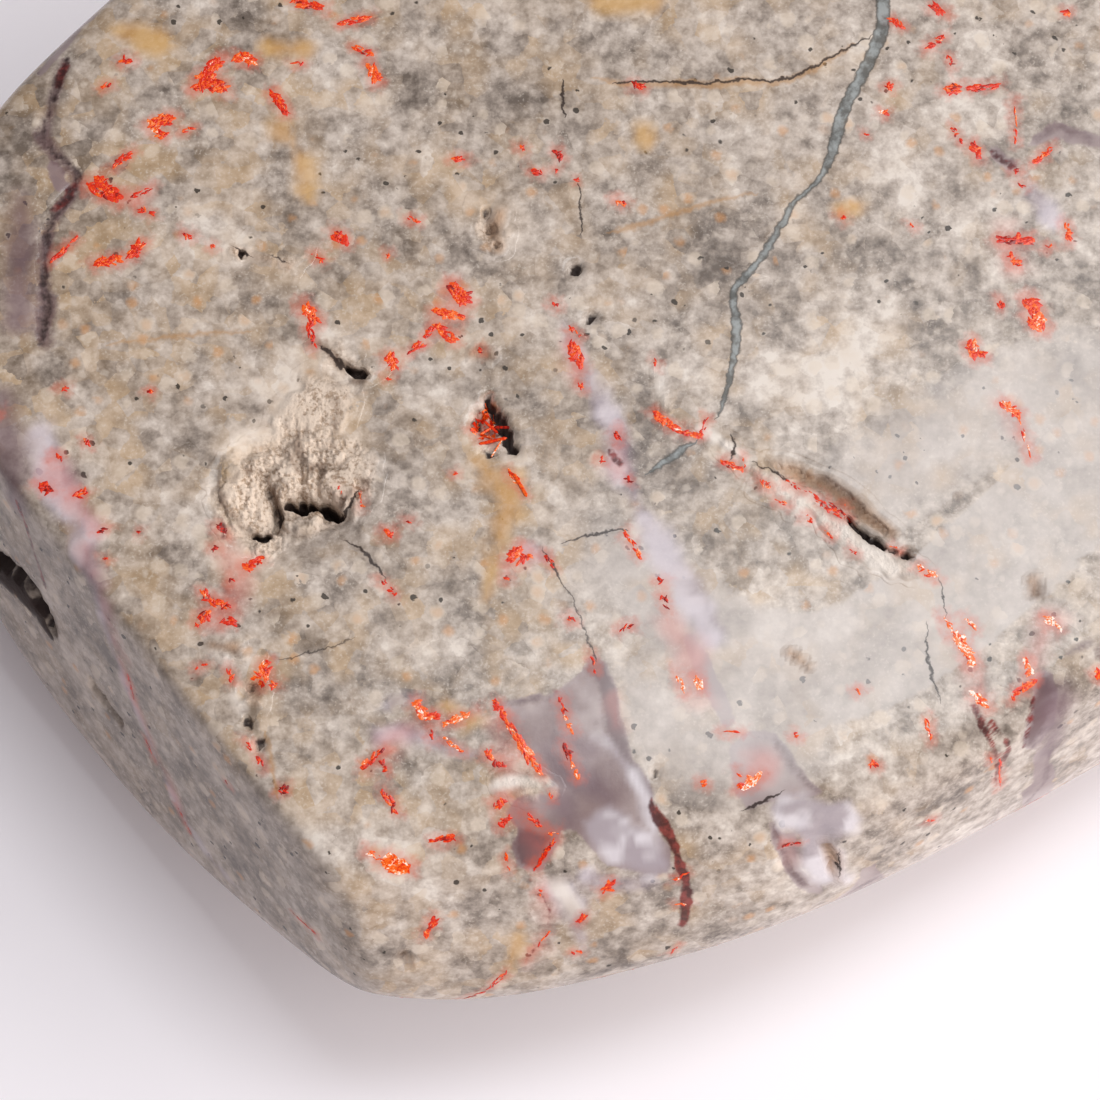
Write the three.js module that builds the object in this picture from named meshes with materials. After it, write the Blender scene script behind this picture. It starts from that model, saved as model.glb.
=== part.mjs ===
// A polished chalcedony freeform: one natural stone, lapped into soft facets and polished.
// A nearly flat top turns over a crisp ridge into one steep flat side, and over broad rounded
// shoulders into the others. The belly is a shallow dome with a small flat spot to rest on.
import * as THREE from 'three';
import { mergeVertices } from 'three/addons/utils/BufferGeometryUtils.js';

// Driving dimensions, in millimetres. The heart is the point that distances are measured from.
const LENGTH = 126;
const WIDTH = 115;
const HEIGHT = 39;
const HEART_HEIGHT = 18;
const MESH_EDGE = 3.4;

// The lapped facets: the angle that each one faces, from +X towards +Y, its lean above the
// horizon, both in degrees, its distance from the heart, and how softly it meets its neighbours.
const FACETS = [
  // The top, tipped a little to the front right, and the belly.
  { faces: 285, lean: 87, distance: 18.6, softness: 0.7 },
  { faces: 270, lean: -90, distance: 18.6, softness: 2.0 },
  // The steep side, which has the crispest edge.
  { faces: 219.5, lean: 11.4, distance: 56.95, softness: 0.5 },
  // The rounded front.
  { faces: 276.6, lean: 32.7, distance: 46.7, softness: 3.4 },
  { faces: 303.6, lean: 8.5, distance: 48.6, softness: 2.1 },
  // The left end, the back and the right end.
  { faces: 181, lean: 10, distance: 66, softness: 2.5 },
  { faces: 136, lean: 14, distance: 61.2, softness: 2.5 },
  { faces: 98, lean: 10, distance: 56.5, softness: 3.0 },
  { faces: 45, lean: 12, distance: 61, softness: 3.0 },
  { faces: 359.7, lean: 12.3, distance: 58.9, softness: 2.0 },
  // The undercut below the sides.
  { faces: 248, lean: -36, distance: 51.4, softness: 2.0 },
  { faces: 290, lean: -36, distance: 41.3, softness: 2.5 },
  { faces: 181, lean: -38, distance: 58, softness: 2.5 },
  { faces: 136, lean: -38, distance: 50, softness: 2.5 },
  { faces: 98, lean: -38, distance: 48, softness: 2.5 },
  { faces: 45, lean: -38, distance: 51, softness: 2.5 },
  { faces: 352, lean: -38, distance: 49.4, softness: 2.5 },
  // The dome around the resting spot.
  { faces: 215, lean: -68, distance: 36, softness: 2.0 },
  { faces: 270, lean: -66, distance: 31, softness: 3.0 },
  { faces: 325, lean: -66, distance: 31, softness: 3.0 },
  { faces: 20, lean: -66, distance: 32, softness: 3.0 },
  { faces: 90, lean: -66, distance: 31, softness: 3.0 },
  { faces: 150, lean: -66, distance: 32, softness: 3.0 },
];

// Natural hollows that the polish did not reach: the middle of each on the skin, how far it
// reaches from there, and its depth towards the heart.
const HOLLOWS = [
  { middle: new THREE.Vector3(-33.9, -17.1, 36.2), reach: 9, depth: 2.2 },
  { middle: new THREE.Vector3(-57.5, -20.2, 22.5), reach: 8, depth: 3.0 },
];

const POLISHED_ROCK = { color: 0xb9b2a5, roughness: 0.25, metalness: 0 };

// The outward normal of a facet.
function facetNormal({ faces, lean }) {
  const heading = THREE.MathUtils.degToRad(faces);
  const rise = THREE.MathUtils.degToRad(lean);
  const level = Math.cos(rise);
  return new THREE.Vector3(level * Math.cos(heading), level * Math.sin(heading), Math.sin(rise));
}

const NORMALS = FACETS.map(facetNormal);

// How far the skin is from the heart in one direction. A point is on the skin where the sum,
// over all facets, of exp((height over the facet) / softness) is one. That sum only grows along
// a ray from inside, so halving the interval finds the one crossing.
function skinDistance(direction) {
  const HALVINGS = 40;
  const slopes = NORMALS.map((normal) => normal.dot(direction));
  let inside = 0;
  let outside = LENGTH;
  for (let step = 0; step < HALVINGS; step += 1) {
    const middle = (inside + outside) / 2;
    const crowding = FACETS.reduce((sum, { distance, softness }, index) => {
      return sum + Math.exp((slopes[index] * middle - distance) / softness);
    }, 0);
    if (crowding < 1) {
      inside = middle;
    } else {
      outside = middle;
    }
  }
  return inside;
}

// How far a point on the skin is pressed in by the hollows: each is a bell that fades to nothing
// at its reach.
function hollowDepth(point) {
  return HOLLOWS.reduce((sum, { middle, reach, depth }) => {
    const away = Math.min(point.distanceTo(middle) / reach, 1);
    return sum + depth * (1 - away * away) ** 2;
  }, 0);
}

// The stone: a box of evenly spaced points, each moved along its ray from the heart to the skin.
// Rays that would pass below the floor stop on it, which leaves the flat resting spot.
function stoneGeometry() {
  const box = new THREE.BoxGeometry(
    LENGTH,
    WIDTH,
    HEIGHT,
    Math.round(LENGTH / MESH_EDGE),
    Math.round(WIDTH / MESH_EDGE),
    Math.round(HEIGHT / MESH_EDGE),
  );
  box.deleteAttribute('normal');
  box.deleteAttribute('uv');
  const stone = mergeVertices(box);
  const heart = new THREE.Vector3(0, 0, HEART_HEIGHT);
  const corners = stone.getAttribute('position');
  const point = new THREE.Vector3();
  for (let index = 0; index < corners.count; index += 1) {
    const direction = new THREE.Vector3().fromBufferAttribute(corners, index).normalize();
    const toSkin = skinDistance(direction);
    const toFloor = direction.z < 0 ? HEART_HEIGHT / -direction.z : Infinity;
    point.copy(heart).addScaledVector(direction, toSkin);
    const rests = toFloor <= toSkin;
    const reach = rests ? toFloor : toSkin - hollowDepth(point);
    point.copy(heart).addScaledVector(direction, reach);
    corners.setXYZ(index, point.x, point.y, rests ? 0 : point.z);
  }
  stone.computeBoundingBox();
  const middle = stone.boundingBox.getCenter(new THREE.Vector3());
  stone.translate(-middle.x, -middle.y, 0);
  stone.computeVertexNormals();
  return stone;
}

const stone = new THREE.Mesh(stoneGeometry(), new THREE.MeshStandardMaterial(POLISHED_ROCK));
stone.name = 'stone';

const freeform = new THREE.Group();
freeform.add(stone);

export default freeform;
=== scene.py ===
import bpy
import numpy as np
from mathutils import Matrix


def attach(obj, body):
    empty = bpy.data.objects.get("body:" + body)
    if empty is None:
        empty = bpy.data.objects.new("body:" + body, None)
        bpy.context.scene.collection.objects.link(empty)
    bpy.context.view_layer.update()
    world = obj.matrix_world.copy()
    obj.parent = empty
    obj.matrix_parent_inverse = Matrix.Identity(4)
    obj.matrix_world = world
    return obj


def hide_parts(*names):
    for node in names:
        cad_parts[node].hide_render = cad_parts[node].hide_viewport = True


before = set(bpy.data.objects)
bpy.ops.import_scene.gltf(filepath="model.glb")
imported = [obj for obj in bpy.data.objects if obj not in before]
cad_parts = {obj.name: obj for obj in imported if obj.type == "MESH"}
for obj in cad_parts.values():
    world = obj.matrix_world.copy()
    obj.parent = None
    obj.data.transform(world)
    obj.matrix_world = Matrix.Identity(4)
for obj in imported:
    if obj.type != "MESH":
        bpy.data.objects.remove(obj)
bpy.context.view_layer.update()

# The view. The stone is seen from steeply above its front edge, from so near that it runs out of
# the frame on three sides. Its marks are placed by the pixel that they show at in this view.
# Lengths are in millimetres until a mesh or a place is handed over in metres.
MM = 0.001
FRAME_PIXELS = 1100
PIXEL = 0.085
VIEW_ELEVATION = np.radians(70)
VIEW_DISTANCE = 340
AIM = np.array([-8.09, -23.06, 37.0])
SENSOR = 36

view_right = np.array([1.0, 0.0, 0.0])
view_back = np.array([0, -np.cos(VIEW_ELEVATION), np.sin(VIEW_ELEVATION)])
view_up = np.array([0, np.sin(VIEW_ELEVATION), np.cos(VIEW_ELEVATION)])
eye = AIM + VIEW_DISTANCE * view_back

camera_data = bpy.data.cameras.new("view")
camera_data.sensor_width = SENSOR
camera_data.lens = SENSOR * VIEW_DISTANCE / (PIXEL * FRAME_PIXELS)
camera = bpy.data.objects.new("view", camera_data)
camera.location = eye * MM
camera.rotation_euler = (np.pi / 2 - VIEW_ELEVATION, 0, 0)
bpy.context.scene.collection.objects.link(camera)
bpy.context.scene.camera = camera

# The stone's skin. The freeform was sawn, ground on a lap and polished, so its faces are nearly
# flat and run softly into each other, with one crisp edge above the steep left side. Each facet
# is the angle it faces, its lean above the horizon, its distance from the heart and its softness.
HEART = np.array([3.51, -1.56, 18.0])
FACETS = np.array([
    # The top and the belly.
    (285, 87, 18.6, 0.7),
    (270, -90, 18.6, 2.0),
    # The steep left side and the rounded front.
    (219.5, 11.4, 56.95, 0.5),
    (276.6, 32.7, 46.7, 3.4),
    (303.6, 8.5, 48.6, 2.1),
    # The left end, the back and the right end.
    (181, 10, 66, 2.5),
    (136, 14, 61.2, 2.5),
    (98, 10, 56.5, 3.0),
    (45, 12, 61, 3.0),
    (359.7, 12.3, 58.9, 2.0),
    # The undercut below the sides.
    (248, -36, 51.4, 2.0),
    (290, -36, 41.3, 2.5),
    (181, -38, 58, 2.5),
    (136, -38, 50, 2.5),
    (98, -38, 48, 2.5),
    (45, -38, 51, 2.5),
    (352, -38, 49.4, 2.5),
    # The dome around the resting spot.
    (215, -68, 36, 2.0),
    (270, -66, 31, 3.0),
    (325, -66, 31, 3.0),
    (20, -66, 32, 3.0),
    (90, -66, 31, 3.0),
    (150, -66, 32, 3.0),
])
TOP = 0
STEEP_SIDE = 2
OUTSIDE = 120
facet_heading, facet_lean = np.radians(FACETS[:, :2]).T
facet_distance, facet_softness = FACETS[:, 2:].T
facet_normal = np.stack([
    np.cos(facet_lean) * np.cos(facet_heading),
    np.cos(facet_lean) * np.sin(facet_heading),
    np.sin(facet_lean),
], axis=1)


def crowding(points):
    """The log of the sum, over all facets, of exp((height over the facet) / softness): nought on
    the skin, more outside it and less inside. Also its slope, which points out of the stone."""
    over = ((points - HEART) @ facet_normal.T - facet_distance) / facet_softness
    most = over.max(axis=1, keepdims=True)
    share = np.exp(over - most)
    total = share.sum(axis=1, keepdims=True)
    slope = (share / total) @ (facet_normal / facet_softness[:, None])
    return (most + np.log(total))[:, 0], slope


def to_skin(starts, directions):
    """Where lines from outside first meet the skin. Crowding is convex along a line, so Newton's
    steps close in from the outside and never pass the skin."""
    NEWTON_STEPS = 30
    points = np.array(starts, float)
    for _ in range(NEWTON_STEPS):
        value, slope = crowding(points)
        points -= directions * (value / (slope * directions).sum(axis=1))[:, None]
    return points


def skin_normals(points):
    """The outward normals of points on the skin: the slope of crowding, made one long."""
    slope = crowding(points)[1]
    return slope / np.linalg.norm(slope, axis=1, keepdims=True)


def skin_from_heart(directions):
    """The skin in the given directions from the heart. Where that would be under the floor, the
    ray stops at the floor instead, which makes the flat resting spot."""
    directions = directions / np.linalg.norm(directions, axis=1, keepdims=True)
    points = to_skin(HEART + OUTSIDE * directions, directions)
    sunk = points[:, 2] < 0
    points[sunk] = HEART - directions[sunk] * (HEART[2] / directions[sunk, 2])[:, None]
    return points


def seen_at(pixels):
    """The points of the skin that show at the given pixels of the view."""
    offset = (np.asarray(pixels, float) - FRAME_PIXELS / 2) * PIXEL
    targets = AIM + offset[:, :1] * view_right - offset[:, 1:2] * view_up
    rays = targets - eye
    return to_skin(np.broadcast_to(eye, rays.shape), rays)


def pixels_of(points):
    """The pixels of the view that points show at."""
    from_eye = points - eye
    scale = VIEW_DISTANCE / PIXEL / -(from_eye @ view_back)
    offset = np.stack([from_eye @ view_right, -from_eye @ view_up], axis=1)
    return FRAME_PIXELS / 2 + offset * scale[:, None]


def on_side(turns):
    """The points of the skin at the given compass angles, in degrees, and heights."""
    heading = np.radians(turns[:, 0])
    outward = np.stack([np.cos(heading), np.sin(heading), np.zeros(len(turns))], axis=1)
    starts = HEART * (1, 1, 0) + OUTSIDE * outward
    starts[:, 2] = turns[:, 1]
    return to_skin(starts, outward)


def spaced(*stretches):
    """Places along a line: each stretch is (from, to, number of steps) and starts where the last
    one ended."""
    runs = [np.linspace(start, end, steps, endpoint=False) for start, end, steps in stretches]
    return np.append(np.concatenate(runs), stretches[-1][1])


def ring_faces(outer, inner):
    """Faces between two closed rings of vertices: quads where they have as many, and three
    triangles to each pair of outer edges where the inner ring has half as many."""
    after = np.roll(inner, -1)
    if len(outer) == len(inner):
        return np.stack([outer, inner, after, np.roll(outer, -1)], axis=1).tolist()
    even, odd, following = outer[::2], outer[1::2], np.roll(outer[::2], -1)
    fans = [(even, inner, odd), (odd, inner, after), (odd, after, following)]
    return np.concatenate([np.stack(fan, axis=1) for fan in fans]).tolist()


# The directions of the mesh's points are spread over a box around the heart: fine over the top,
# which the view shows, then a skirt of levels down the sides, then rings that thin out below.
BOX_TOP = 19
columns = spaced((-66, -58, 10), (-58, 36, 204), (36, 66, 34))
rows = spaced((-58, 31, 194), (31, 58, 30))
SIDE_LEVELS = 40
UNDERSIDE_RINGS = ((0.985, 2), (0.965, 2), (0.93, 1), (0.88, 1), (0.82, 1), (0.74, 2), (0.64, 1),
                   (0.53, 1), (0.42, 1), (0.3, 2), (0.18, 1), (0.08, 1))

grid_x, grid_y = np.meshgrid(columns, rows)
top_rays = np.stack([grid_x, grid_y, np.full(grid_x.shape, BOX_TOP)], axis=2).reshape(-1, 3)
top = np.arange(len(top_rays)).reshape(grid_x.shape)
rim = np.concatenate([top[0, :-1], top[:-1, -1], top[-1, :0:-1], top[:0:-1, 0]])
stone_faces = np.stack([top[:-1, :-1], top[:-1, 1:], top[1:, 1:], top[1:, :-1]], axis=2)
stone_faces = stone_faces.reshape(-1, 4).tolist()
stone_rays = [top_rays]
ring, ring_rays, count = rim, top_rays[rim], len(top_rays)
for level in np.linspace(BOX_TOP, -BOX_TOP, SIDE_LEVELS + 1)[1:]:
    ring_rays = ring_rays * (1, 1, 0) + (0, 0, level)
    next_ring = np.arange(count, count + len(ring))
    stone_faces += ring_faces(ring, next_ring)
    stone_rays.append(ring_rays)
    ring, count = next_ring, count + len(ring)
belly_rays = ring_rays
for shrink, thinning in UNDERSIDE_RINGS:
    belly_rays = belly_rays[::thinning]
    next_ring = np.arange(count, count + len(belly_rays))
    stone_faces += ring_faces(ring, next_ring)
    stone_rays.append(belly_rays * (shrink, shrink, 1))
    ring, count = next_ring, count + len(next_ring)
stone_rays.append(np.array([(0, 0, -BOX_TOP)]))
stone_faces += np.stack([ring, np.full(len(ring), count), np.roll(ring, -1)], axis=1).tolist()

skin = skin_from_heart(np.concatenate(stone_rays))
skin_normal = skin_normals(skin)


# The marks in the rock. Veins, stains, windows of chalcedony, cracks and crumbly patches follow
# paths over the skin. A path is a list of places, each with its half width in pixels, and stands
# for everything nearer to it than that. A list of places without widths is an outline.
def rounded(path):
    """The path with its corners cut twice, each time at a quarter and three quarters of a side."""
    for _ in range(2):
        before, behind = path[:-1], path[1:]
        cut = np.stack([0.75 * before + 0.25 * behind, 0.25 * before + 0.75 * behind], axis=1)
        path = np.concatenate([path[:1], cut.reshape(-1, path.shape[1]), path[-1:]])
    return path


def seen_path(marks):
    """A path from pixels: its points on the skin, each with its half width in millimetres."""
    marks = rounded(np.array(marks, float))
    return np.column_stack([seen_at(marks[:, :2]), marks[:, 2] * PIXEL])


def side_path(marks):
    """A path round the hidden sides: from compass angles, heights and half widths."""
    marks = np.array(marks, float)
    return rounded(np.column_stack([on_side(marks[:, :2]), marks[:, 2]]))


def lumps(points, size, seed):
    """Smooth random hills from -1 to 1, size apart: random heights on a cubic lattice, blended
    between its corners by 3t^2 - 2t^3 in each direction."""
    LATTICE = 48
    heights = np.random.default_rng(seed).uniform(-1, 1, (LATTICE,) * 3)
    cell = np.floor(points / size).astype(int)
    part = points / size - cell
    part = part * part * (3 - 2 * part)
    total = np.zeros(len(points))
    for corner in np.ndindex(2, 2, 2):
        weight = np.where(corner, part, 1 - part).prod(axis=1)
        total += weight * heights[tuple(((cell + corner) % LATTICE).T)]
    return total


def clouds(points, size, seed):
    """Three layers of lumps, each half as large and half as strong as the one before."""
    return sum(lumps(points, size / 2 ** layer, seed + layer) / 2 ** layer for layer in range(3))


def bent(points):
    """Points moved by up to about half a millimetre, the same way near each other, so that marks
    measured from them have wavering edges."""
    WAVER = 0.25
    moves = [lumps(points, 2.3, seed) + 0.6 * lumps(points, 1.0, seed + 1) for seed in (21, 31, 41)]
    return points + WAVER * np.stack(moves, axis=1)


def measure(points, normals, path, reach):
    """For each point, how far it is across the path, signed by side, its distance from the path
    and the half width of the path there. Points beyond the reach keep the reach as distance."""
    across = np.full(len(points), float(reach))
    distance = across.copy()
    half_width = np.zeros(len(points))
    low, high = path[:, :3].min(axis=0) - reach, path[:, :3].max(axis=0) + reach
    near = np.flatnonzero(((points > low) & (points < high)).all(axis=1))
    place, up = points[near], normals[near]
    for start, end in zip(path[:-1], path[1:]):
        run = (end - start)[:3]
        part = np.clip((place - start[:3]) @ run / (run @ run + 1e-12), 0, 1)
        offset = place - start[:3] - part[:, None] * run
        gap = np.linalg.norm(offset, axis=1)
        side = np.where((np.cross(run, offset) * up).sum(axis=1) < 0, -1, 1)
        nearer = gap < distance[near]
        chosen = near[nearer]
        distance[chosen] = gap[nearer]
        across[chosen] = (side * gap)[nearer]
        half_width[chosen] = (start[3] + part * (end[3] - start[3]))[nearer]
    return across, distance, half_width


# Depths inside marks are measured up to this far from their edges.
MARK_REACH = 5


def inside_outline(points, normals, outline):
    """How deep each point that the view shows is inside an outline of pixels, in millimetres. It
    is inside where a line to the right crosses the outline an odd number of times."""
    corners = np.array(outline, float)
    depth = np.full(len(points), -float(MARK_REACH))
    place = pixels_of(points)
    low, high = corners.min(axis=0) - MARK_REACH / PIXEL, corners.max(axis=0) + MARK_REACH / PIXEL
    shown = ((eye - points) * normals).sum(axis=1) > 0
    near = np.flatnonzero(shown & ((place > low) & (place < high)).all(axis=1))
    place = place[near]
    gap = np.full(len(near), MARK_REACH / PIXEL)
    odd = np.zeros(len(near), bool)
    for start, end in zip(corners, np.roll(corners, -1, axis=0)):
        run = end - start
        part = np.clip((place - start) @ run / (run @ run), 0, 1)
        gap = np.minimum(gap, np.linalg.norm(place - start - part[:, None] * run, axis=1))
        spans = (start[1] > place[:, 1]) != (end[1] > place[:, 1])
        crossing = start[0] + (place[:, 1] - start[1]) * run[0] / (run[1] if run[1] else 1)
        odd ^= spans & (place[:, 0] < crossing)
    depth[near] = np.where(odd, gap, -gap) * PIXEL
    return depth


def zone(points, normals, marks):
    """How deep inside the nearest of the marks' edges each point is, in millimetres. A mark is an
    outline or a path of pixels, or a finished path."""
    depth = np.full(len(points), -float(MARK_REACH))
    for mark in marks:
        if len(mark[0]) == 2:
            inside = inside_outline(points, normals, mark)
        else:
            path = mark if isinstance(mark, np.ndarray) else seen_path(mark)
            across, distance, half_width = measure(points, normals, path, MARK_REACH)
            inside = half_width - distance
        depth = np.maximum(depth, inside)
    return depth


def smooth_step(low, high, values):
    """Nought below low, one above high, and 3t^2 - 2t^3 between."""
    part = np.clip((values - low) / (high - low), 0, 1)
    return part * part * (3 - 2 * part)


# Open cracks: each with its depth and its darkness, a painted shade.
CRACKS = [
    # The slit of the long crack, and its hole.
    (1.6, 1.0, [(850, 520, 0.2), (858, 528, 0.8), (873, 540, 1), (886, 548, 1.2), (893, 551, 0.2)]),
    (1.6, 1.0, [(904, 554, 1.5), (909, 556, 2)]),
    # The scoop along it.
    (0.5, 0.0, [(778, 466, 1), (806, 478, 5), (828, 489, 6), (846, 500, 8), (862, 513, 6),
                (884, 530, 2)]),
    # The dark fissure near the left end.
    (0.2, 0.42, [(67, 58, 2), (61, 72, 4), (55, 86, 5), (50, 104, 3), (45, 122, 4), (40, 138, 5),
                 (48, 151, 4), (64, 160, 3), (77, 170, 4), (77, 184, 5), (67, 198, 4), (54, 212, 3),
                 (46, 232, 4), (43, 258, 4), (44, 284, 4), (47, 304, 7), (46, 322, 5), (42, 344, 4)]),
    # The crack over the vug, and the gaps in the vug.
    (1.4, 0.9, [(345, 367, 1), (352, 371, 3), (358, 373, 3), (366, 377, 1)]),
    (2.4, 1.0, [(310, 498, 1), (318, 500, 3), (326, 504, 4), (334, 508, 5), (340, 512, 3)]),
    (1.8, 1.0, [(301, 498, 2), (304, 506, 1)]),
    (1.8, 1.0, [(289, 500, 2), (295, 502, 1)]),
    (1.0, 0.5, [(294, 502, 1), (303, 503, 1), (311, 499, 1)]),
    (0.8, 0.3, [(267, 488, 1), (275, 498, 2), (279, 508, 3), (279, 519, 3), (273, 530, 1)]),
    (1.4, 0.85, [(254, 536, 1), (262, 538, 2), (269, 536, 1)]),
    # The crevice with needles.
    (0.7, 0.2, [(478, 414, 2), (485, 424, 6), (492, 434, 5)]),
    (2.0, 1.0, [(489, 396, 0.5), (491, 405, 3), (495, 413, 5), (501, 420, 5), (506, 428, 4),
                (508, 438, 2.5), (513, 447, 2.5), (516, 451, 1)]),
    (0.8, 0.8, [(488, 449, 1.5), (493, 452, 1.5)]),
    # The hollow in the steep left side, and its painted shade, which spreads below the groove.
    (2.4, 1.0, [(-6, 558, 10), (10, 568, 14), (28, 584, 16), (42, 606, 13), (52, 626, 6)]),
    (0.0, 1.0, [(-12, 566, 12), (4, 578, 17), (22, 594, 19), (38, 614, 15), (50, 634, 6)]),
    (0.9, 0.6, [(92, 683, 2), (106, 702, 4), (122, 724, 2)]),
]
# Round holes: pixel, half width, depth and darkness, a painted shade.
HOLES = [
    (577, 270, 5, 1.4, 1.0),
    (590, 314, 4, 1.0, 0.8),
    (1034, 582, 3, 0.4, 0.0),
    (1036, 592, 3, 0.4, 0.0),
    (829, 850, 5, 1.0, 0.0),
    (832, 860, 6, 1.2, 0.0),
    (835, 870, 5, 1.0, 0.0),
    (797, 654, 2, 0.3, 0.3),
    (808, 662, 2, 0.3, 0.3),
    (246, 722, 2.5, 0.8, 0.6),
    (259, 742, 3.5, 0.7, 0.5),
    (251, 688, 2.5, 0.5, 0.4),
    (476, 424, 3, 0.6, 0.7),
    (655, 772, 2, 0.4, 0.5),
    (493, 226, 4, 0.6, 0.4),
    (486, 212, 3, 0.5, 0.4),
    (497, 243, 3, 0.6, 0.5),
    (405, 956, 5, 0.5, 0.4),
    (243, 252, 3, 0.7, 0.7),
]
# Dips of the ground: pixel, half width and depth.
DIPS = [
    (292, 494, 84, 1.3),
    (256, 512, 32, 0.8),
    (330, 506, 26, 0.9),
    (298, 505, 24, 0.6),
    (336, 372, 16, 0.5),
    (352, 383, 14, 0.3),
    (790, 858, 18, 0.7),
    (820, 840, 20, 0.3),
    (486, 428, 16, 0.7),
    (250, 690, 14, 0.4),
    (488, 228, 18, 0.3),
]
# The pale lip of the long crack.
CRACK_LIP = [
    (752, 463), (762, 466), (772, 471), (785, 480), (795, 487), (808, 495), (828, 513), (848, 527),
    (860, 537), (872, 546), (886, 554), (902, 561), (916, 567), (919, 575), (905, 573), (893, 574),
    (882, 569), (868, 563), (850, 551), (835, 541), (822, 529), (808, 516), (795, 509), (785, 504),
    (770, 499), (760, 493), (765, 484),
]
# Crumbly patches that took no polish.
CRUMBS = [
    [(216, 468), (232, 455), (250, 444), (266, 436), (282, 428), (298, 422), (316, 420), (334, 424),
     (352, 432), (364, 444), (370, 458), (372, 474), (369, 490), (362, 505), (350, 518), (338, 526),
     (322, 529), (305, 534), (285, 540), (272, 552), (258, 558), (246, 548), (236, 535), (224, 515),
     (216, 492)],
    [(322, 348, 4), (338, 359, 7), (352, 368, 9), (366, 375, 6)],
    [(268, 436), (276, 412), (288, 394), (300, 380), (316, 372), (334, 374), (348, 384), (356, 402),
     (354, 420), (346, 436)],
    CRACK_LIP,
    [(700, 430, 3), (722, 440, 4), (734, 456, 4), (752, 464, 4)],
    [(480, 208, 6), (482, 226, 9), (492, 245, 9), (508, 234, 5)],
    [(236, 250, 5), (262, 257, 7), (292, 262, 7), (302, 255, 4)],
    [(214, 656, 6), (228, 660, 8), (243, 660, 7)],
    [(246, 684, 6), (252, 698, 9), (240, 706, 7)],
    [(498, 782), (513, 778), (528, 771), (546, 775), (550, 784), (540, 788), (532, 798), (523, 792),
     (509, 794), (502, 790)],
    [(655, 370, 2), (663, 388, 3), (668, 408, 2)],
]
# Knobs of the vug: pixel, half length, half breadth and turn in the view, and rise.
KNOBS = [
    (250, 505, 25, 29, 0, 1.0),
    (284, 478, 18, 23, 10, 1.3),
    (309, 476, 11, 21, 0, 1.0),
    (336, 485, 19, 17, 15, 1.6),
    (302, 523, 22, 12, 0, 1.6),
    (316, 516, 8, 12, 25, 1.8),
    (347, 502, 4, 15, 25, 1.4),
    (262, 462, 24, 14, -15, 0.7),
    (236, 476, 16, 10, 10, 0.7),
    (227, 492, 9, 12, 0, 0.8),
    (353, 468, 16, 12, 0, 0.8),
    (302, 452, 20, 12, 10, 0.5),
    (328, 456, 16, 12, -10, 0.6),
    (318, 432, 14, 12, 20, 0.3),
    (344, 436, 14, 10, -20, 0.3),
    (262, 550, 14, 9, -20, 0.5),
    (352, 356, 17, 9, 25, 0.2),
]
crack_paths = [seen_path(marks) for depth, darkness, marks in CRACKS]
hole_middles = seen_at([hole[:2] for hole in HOLES])
dip_middles = seen_at([dip[:2] for dip in DIPS])
vug_middle = seen_at([(292, 500)])


def relief(points, normals):
    """How far the skin is sunk at each point, how crumbly it is there, how dark the painted shade of a
    crack or hole is there, and how high on a crumb. Cracks are grooves with steep walls, holes are
    bowls, dips are bells and knobs are half balls. Crumbs are layers of random hills, each with its
    size, height and seed, added up without their signs. The lap took off all that would stand above the
    skin."""
    WALL = 0.3
    FLAT_FLOOR = 0.4
    CRACK_REACH = 4
    CRUMB_FLOOR = 0.35
    VUG_NEAR, VUG_FAR = 3, 11
    CRUMB_LAYERS = ((1.6, 0.5, 1), (0.8, 0.36, 2), (0.4, 0.32, 5), (0.2, 0.24, 6))
    place = bent(points)
    crumb = zone(place, normals, CRUMBS) + 0.6 * lumps(points, 2.0, 3) + 0.4 * lumps(points, 0.8, 4)
    height = sum(rise * abs(lumps(points, size, seed)) for size, rise, seed in CRUMB_LAYERS)
    from_vug = np.linalg.norm(points - vug_middle, axis=1)
    rough = 1 - 0.85 * smooth_step(VUG_NEAR, VUG_FAR, from_vug)
    knob = np.zeros(len(points))
    seen = pixels_of(place)
    for x, y, half_length, half_breadth, turn, rise in KNOBS:
        turn = np.radians(turn)
        along = (seen - (x, y)) @ (np.cos(turn), np.sin(turn)) / half_length
        aside = (seen - (x, y)) @ (-np.sin(turn), np.cos(turn)) / half_breadth
        knob = np.maximum(knob, rise * np.sqrt(np.maximum(1 - along ** 2 - aside ** 2, 0)))
    sunk = smooth_step(-0.6, 1.4, crumb) * (rough * (CRUMB_FLOOR - height) - knob)
    for middle, (x, y, half_width, depth) in zip(dip_middles, DIPS):
        away = np.linalg.norm(place - middle, axis=1) / (half_width * PIXEL)
        sunk += depth * (1 - smooth_step(0.3, 1.1, away))
    crack_shade = np.zeros(len(points))
    ragged = 0.14 * lumps(points, 0.9, 7) + 0.1 * lumps(points, 0.4, 8)
    for path, (depth, darkness, marks) in zip(crack_paths, CRACKS):
        across, distance, half_width = measure(place, normals, path, CRACK_REACH)
        away = (distance + ragged) / (half_width + WALL)
        groove = np.where(half_width > 0, 1 - smooth_step(FLAT_FLOOR, 1, away), 0)
        sunk = sunk + depth * groove
        crack_shade = np.maximum(crack_shade, groove * darkness)
    for middle, (x, y, half_width, depth, darkness) in zip(hole_middles, HOLES):
        away = (np.linalg.norm(place - middle, axis=1) + 2 * ragged) / (half_width * PIXEL + WALL)
        bowl = 1 - smooth_step(FLAT_FLOOR, 1, away)
        sunk = sunk + depth * bowl
        crack_shade = np.maximum(crack_shade, bowl * darkness)
    return np.maximum(sunk, 0), crumb, crack_shade, height


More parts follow.
